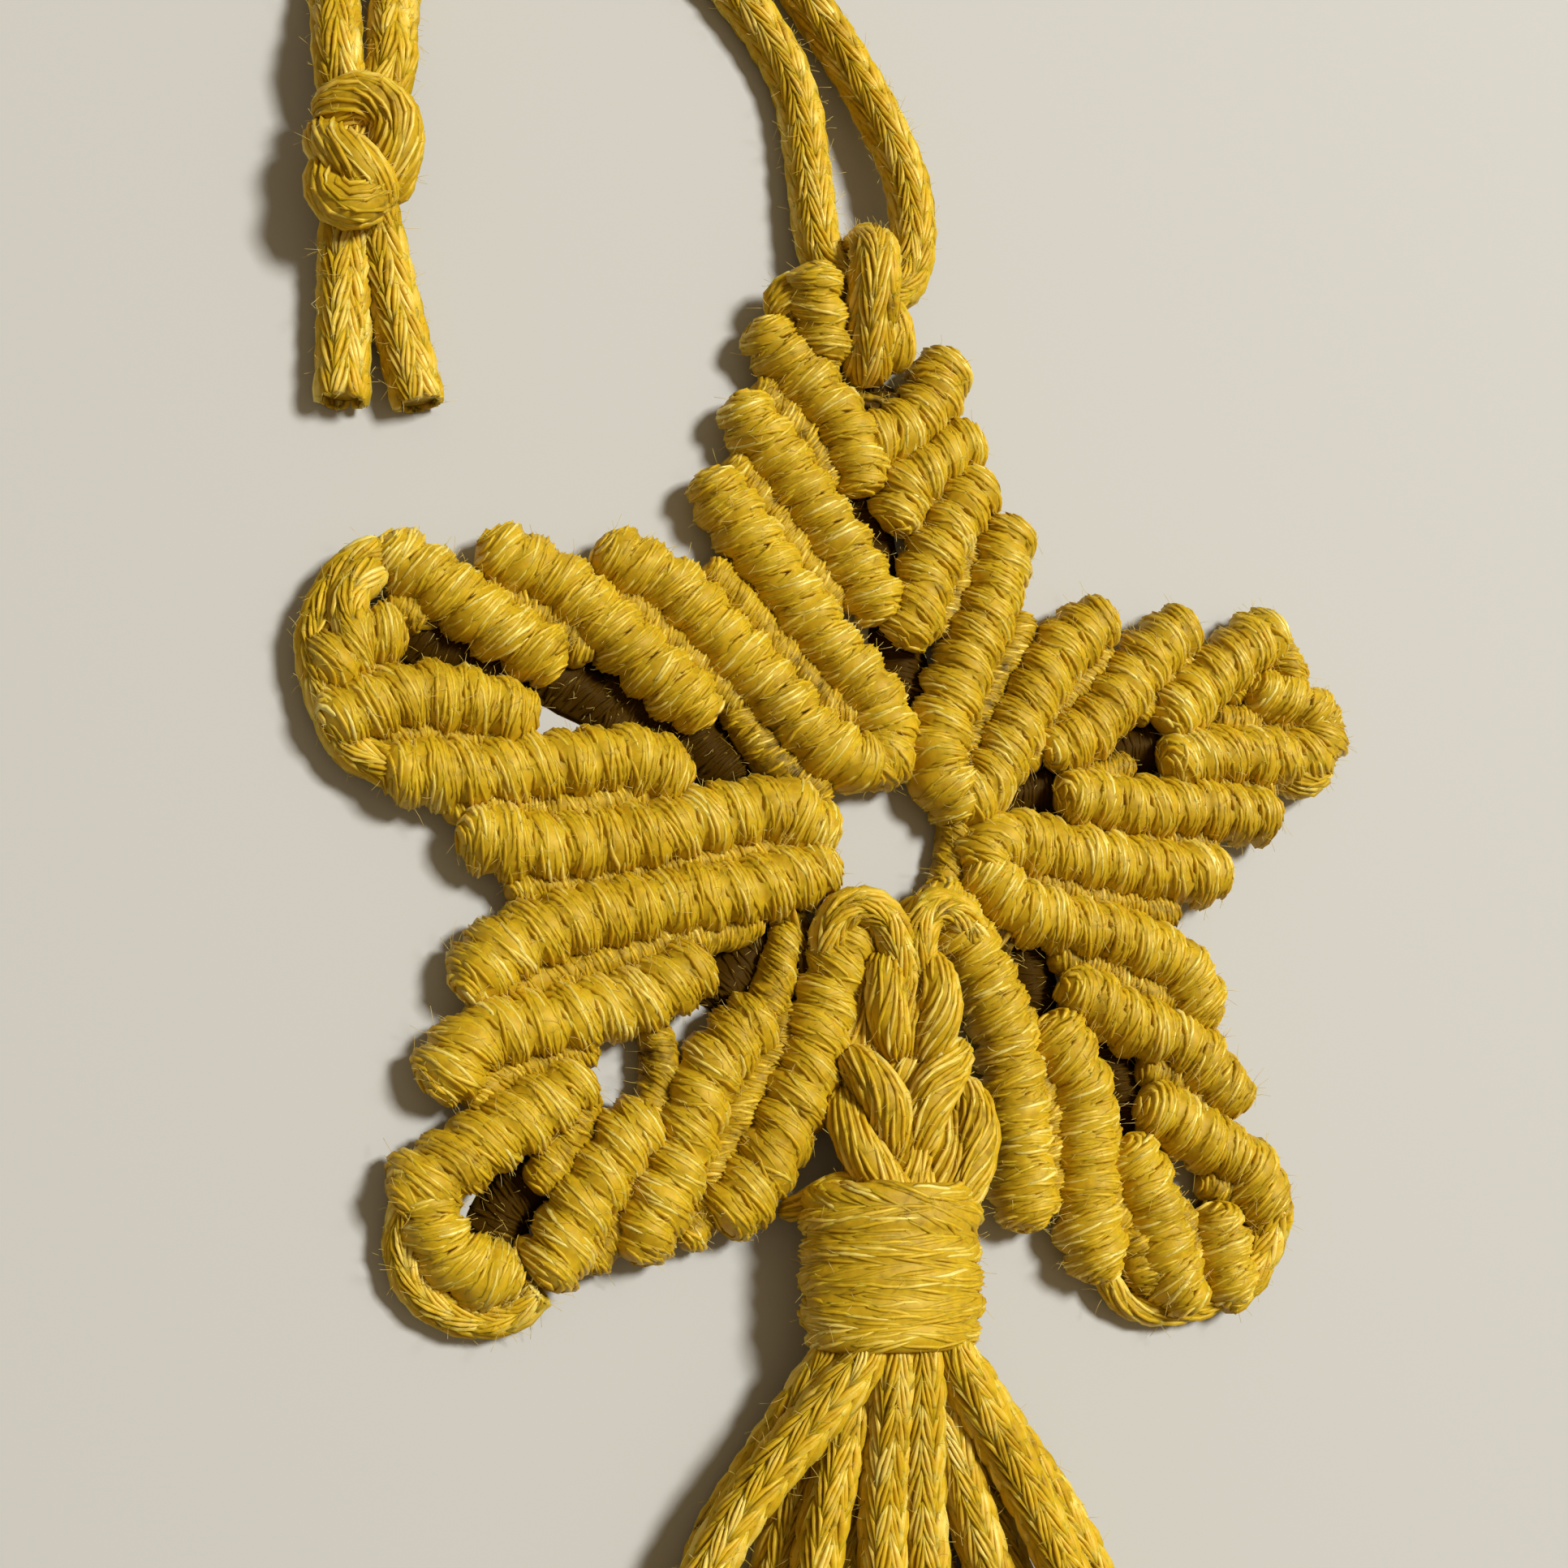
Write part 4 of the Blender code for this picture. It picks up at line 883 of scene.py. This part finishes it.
# x and z at the neck, x and z at FAN_Y, y where it lands, x of its end, y of that past TRIM_Y
TASSEL = (
    (2.6, 7.0, -6.0, 4.5, -70.0, -20.0, 1.2),
    (0.8, 4.5, -5.2, 1.5, -54.0, -14.9, 0.4),
    (2.6, 1.9, -0.6, 1.4, -54.0, -9.8, -0.6),
    (3.4, 4.3, 0.8, 4.1, -70.0, -4.7, 0.3),
    (4.8, 1.9, 4.2, 1.4, -54.0, 0.4, -1.0),
    (5.0, 7.0, 4.9, 4.5, -76.0, 5.5, -0.2),
    (7.2, 7.1, 7.7, 4.6, -74.0, 10.6, -0.8),
    (7.0, 1.9, 9.0, 1.4, -54.0, 15.7, 0.5),
    (8.6, 4.15, 11.75, 3.95, -65.0, 20.8, -0.4),
    (9.2, 1.8, 14.0, 1.3, -54.0, 25.9, 0.8),
    (9.9, 7.1, 16.2, 5.0, -71.0, 31.0, 0.2),
    (11.1, 4.2, 19.4, 1.2, -54.0, 36.1, 1.0),
)
STRAND_LAY = 1.5        # height of a strand's middle where it lies on the ground
STRAND_RADIUS = 1.58


def strand_points(neck_x, neck_z, fan_x, fan_z, lands_y, end_x, past_trim):
    """Chosen points of one strand, from inside the neck to its cut end."""
    end_y = TRIM_Y + past_trim

    def spread_at(y):
        """x of the strand at y, as it fans out."""
        part = (FAN_Y - y) / (FAN_Y - end_y)
        return fan_x + (end_x - fan_x) * (1 - (1 - part) ** SPREAD)

    inner_x = NECK_TOP[0] + 0.88 * (neck_x - NECK_TOP[0])
    inner_z = NECK_MIDDLE + 0.72 * (neck_z - NECK_MIDDLE)
    points = [(inner_x, NECK_EXIT_Y + ROOT_DEPTH, inner_z), (inner_x, NECK_EXIT_Y, inner_z),
              (fan_x, FAN_Y, max(fan_z, STRAND_LAY))]
    if lands_y + DROP_LENGTH < FAN_Y:
        points.append((spread_at(lands_y + DROP_LENGTH), lands_y + DROP_LENGTH, fan_z))
    for y in (lands_y, (lands_y + end_y) / 2, end_y):
        points.append((spread_at(y), y, STRAND_LAY))
    return points


# %% Knit the tassel strands
strands = []
for row in TASSEL:
    route = smooth_route(strand_points(*row), 1.0)
    split = int(np.argmax(route[:, 1] < COARSER_Y))
    spin = draw.uniform(0, 6)
    strands.append(knitted(route[:split + OVERLAP:3], STRAND_RADIUS, spin=spin, root=0.55)
                   + knitted(route[split::4], STRAND_RADIUS, plies=2, spin=spin))
for name, chosen in (("tassel_left", strands[:6]), ("tassel_right", strands[6:])):
    yarn_piece(name, "tassel", [batch for strand in chosen for batch in strand], cord_cotton)

# %% [markdown]
# ## Loose fibres
# Handled cotton grows a halo of fine fibres. They soften every outline, and against the
# shadow between two bars they are what tells the eye that this is yarn. Each is a thin,
# bent tube that starts on a randomly chosen ply and leaves it at a slant. A real fibre is
# half as thick, but then it would be lost between two pixels.

# %% Loose fibres
FIBRE_RADIUS = 0.016
FIBRE_LENGTHS = (0.4, 1.2)
FACES_UP = -0.35        # fibres whose ply faces down more than this aren't made
OFF_THE_GROUND = 0.05   # least height of a fibre
FIBRES = (("star", 11600), ("tassel", 3600), ("hanging_knot", 1000),
          ("hanging_cord_inner", 1000), ("hanging_cord_outer", 1200))


def fuzz(name, node, count):
    """`count` loose fibres on plies of a CAD node's yarn, drawn by lot."""
    lines = [batch for batch in plies_of[node] if len(batch.get("lines", ())) > 1]
    weights = np.array([measure(batch["lines"][0])[-1] * len(batch["lines"]) for batch in lines])
    starts, outs, alongs = [], [], []
    for batch, share in zip(lines, draw.multinomial(count, weights / weights.sum())):
        one = draw.integers(0, len(batch["lines"]), share)
        spot = draw.integers(1, batch["lines"].shape[1] - 1, share)
        starts.append(batch["lines"][one, spot])
        outs.append(batch["outward"][one, spot])
        alongs.append(batch["lines"][one, spot + 1] - batch["lines"][one, spot - 1])
    start, out = np.concatenate(starts), unit(np.concatenate(outs))
    along = unit(np.concatenate(alongs)) * draw.choice((-1, 1), (len(start), 1))
    kept = out[:, 2] > FACES_UP
    start, out, along = start[kept], out[kept], along[kept]
    # Mostly along the ply and a little outward, then bent, all by lot.
    away = unit(along * draw.uniform(0.2, 1, (len(start), 1)) + draw.normal(0, 0.35, start.shape)
                + out * draw.uniform(0.15, 0.8, (len(start), 1)))
    bend = unit(draw.normal(0, 1, start.shape) + 0.3 * out)
    t = np.linspace(0, 1, 3)[None, :, None]
    size = draw.uniform(*FIBRE_LENGTHS, (len(start), 1, 1))
    root = (start + 0.12 * out)[:, None]
    paths = root + size * (t * away[:, None] + 0.4 * t ** 2 * bend[:, None])
    clear = paths[:, :, 2].min(axis=1) > OFF_THE_GROUND
    paths, bend = paths[clear], bend[clear]
    hairs = sweep(paths, np.broadcast_to(bend[:, None], paths.shape), FIBRE_RADIUS,
                  draw.normal(0.2, 0.15, len(paths)))
    yarn_piece(name, node, [hairs], fuzz_cotton)


for node, count in FIBRES:
    fuzz(node + "_fuzz", node, count)

# %% [markdown]
# ## Surface and light
# A plain pale surface, one soft light from the upper right, so that shadows fall a few
# millimetres to the lower left, and a dim, even, pale surround. The light is 1.35 m away and
# 30 cm wide, like a small window, so the shadow of a cord has a soft edge. The surface is
# uncoated paper: it is rough, so it is an even grey without any highlight.

# %% Surface
bpy.ops.mesh.primitive_plane_add(size=3.0, location=(0.0, 0.0, 0.0))
floor = bpy.context.object
floor.name = "surface"
paper = bpy.data.materials.new("matt pale paper")
paper.use_nodes = True
coat = paper.node_tree.nodes["Principled BSDF"].inputs
coat["Base Color"].default_value = linear("B4B3AC")
coat["Roughness"].default_value = 0.9
floor.data.materials.append(paper)

# %% Light
WINDOW = Vector((0.56, 0.38, 1.17))     # in metres; it is aimed at the origin
window = bpy.data.lights.new("window", "AREA")
window.size = 0.30
window.energy = 23.5
lamp = bpy.data.objects.new("window", window)
bpy.context.scene.collection.objects.link(lamp)
lamp.location = WINDOW
lamp.rotation_euler = (-WINDOW).to_track_quat("-Z", "Y").to_euler()
print("the light is", round(WINDOW.length, 2), "m away")
# Standard shows a colour as it was written; the usual transform would grey the yellow.
bpy.context.scene.view_settings.view_transform = "Standard"
world = bpy.data.worlds.new("pale room")
world.use_nodes = True
glow = world.node_tree.nodes["Background"].inputs
glow["Color"].default_value = linear("F6DFBC")      # warm, so the shadows aren't blue
glow["Strength"].default_value = 0.31
bpy.context.scene.world = world

# %% [markdown]
# ## Triangles at the end
# The yarn may stand a little proud of the solids it stands for. The boxes of the CAD parts
# are printed at the start; here only the number of triangles is printed.

print("triangles in all:", sum(made))
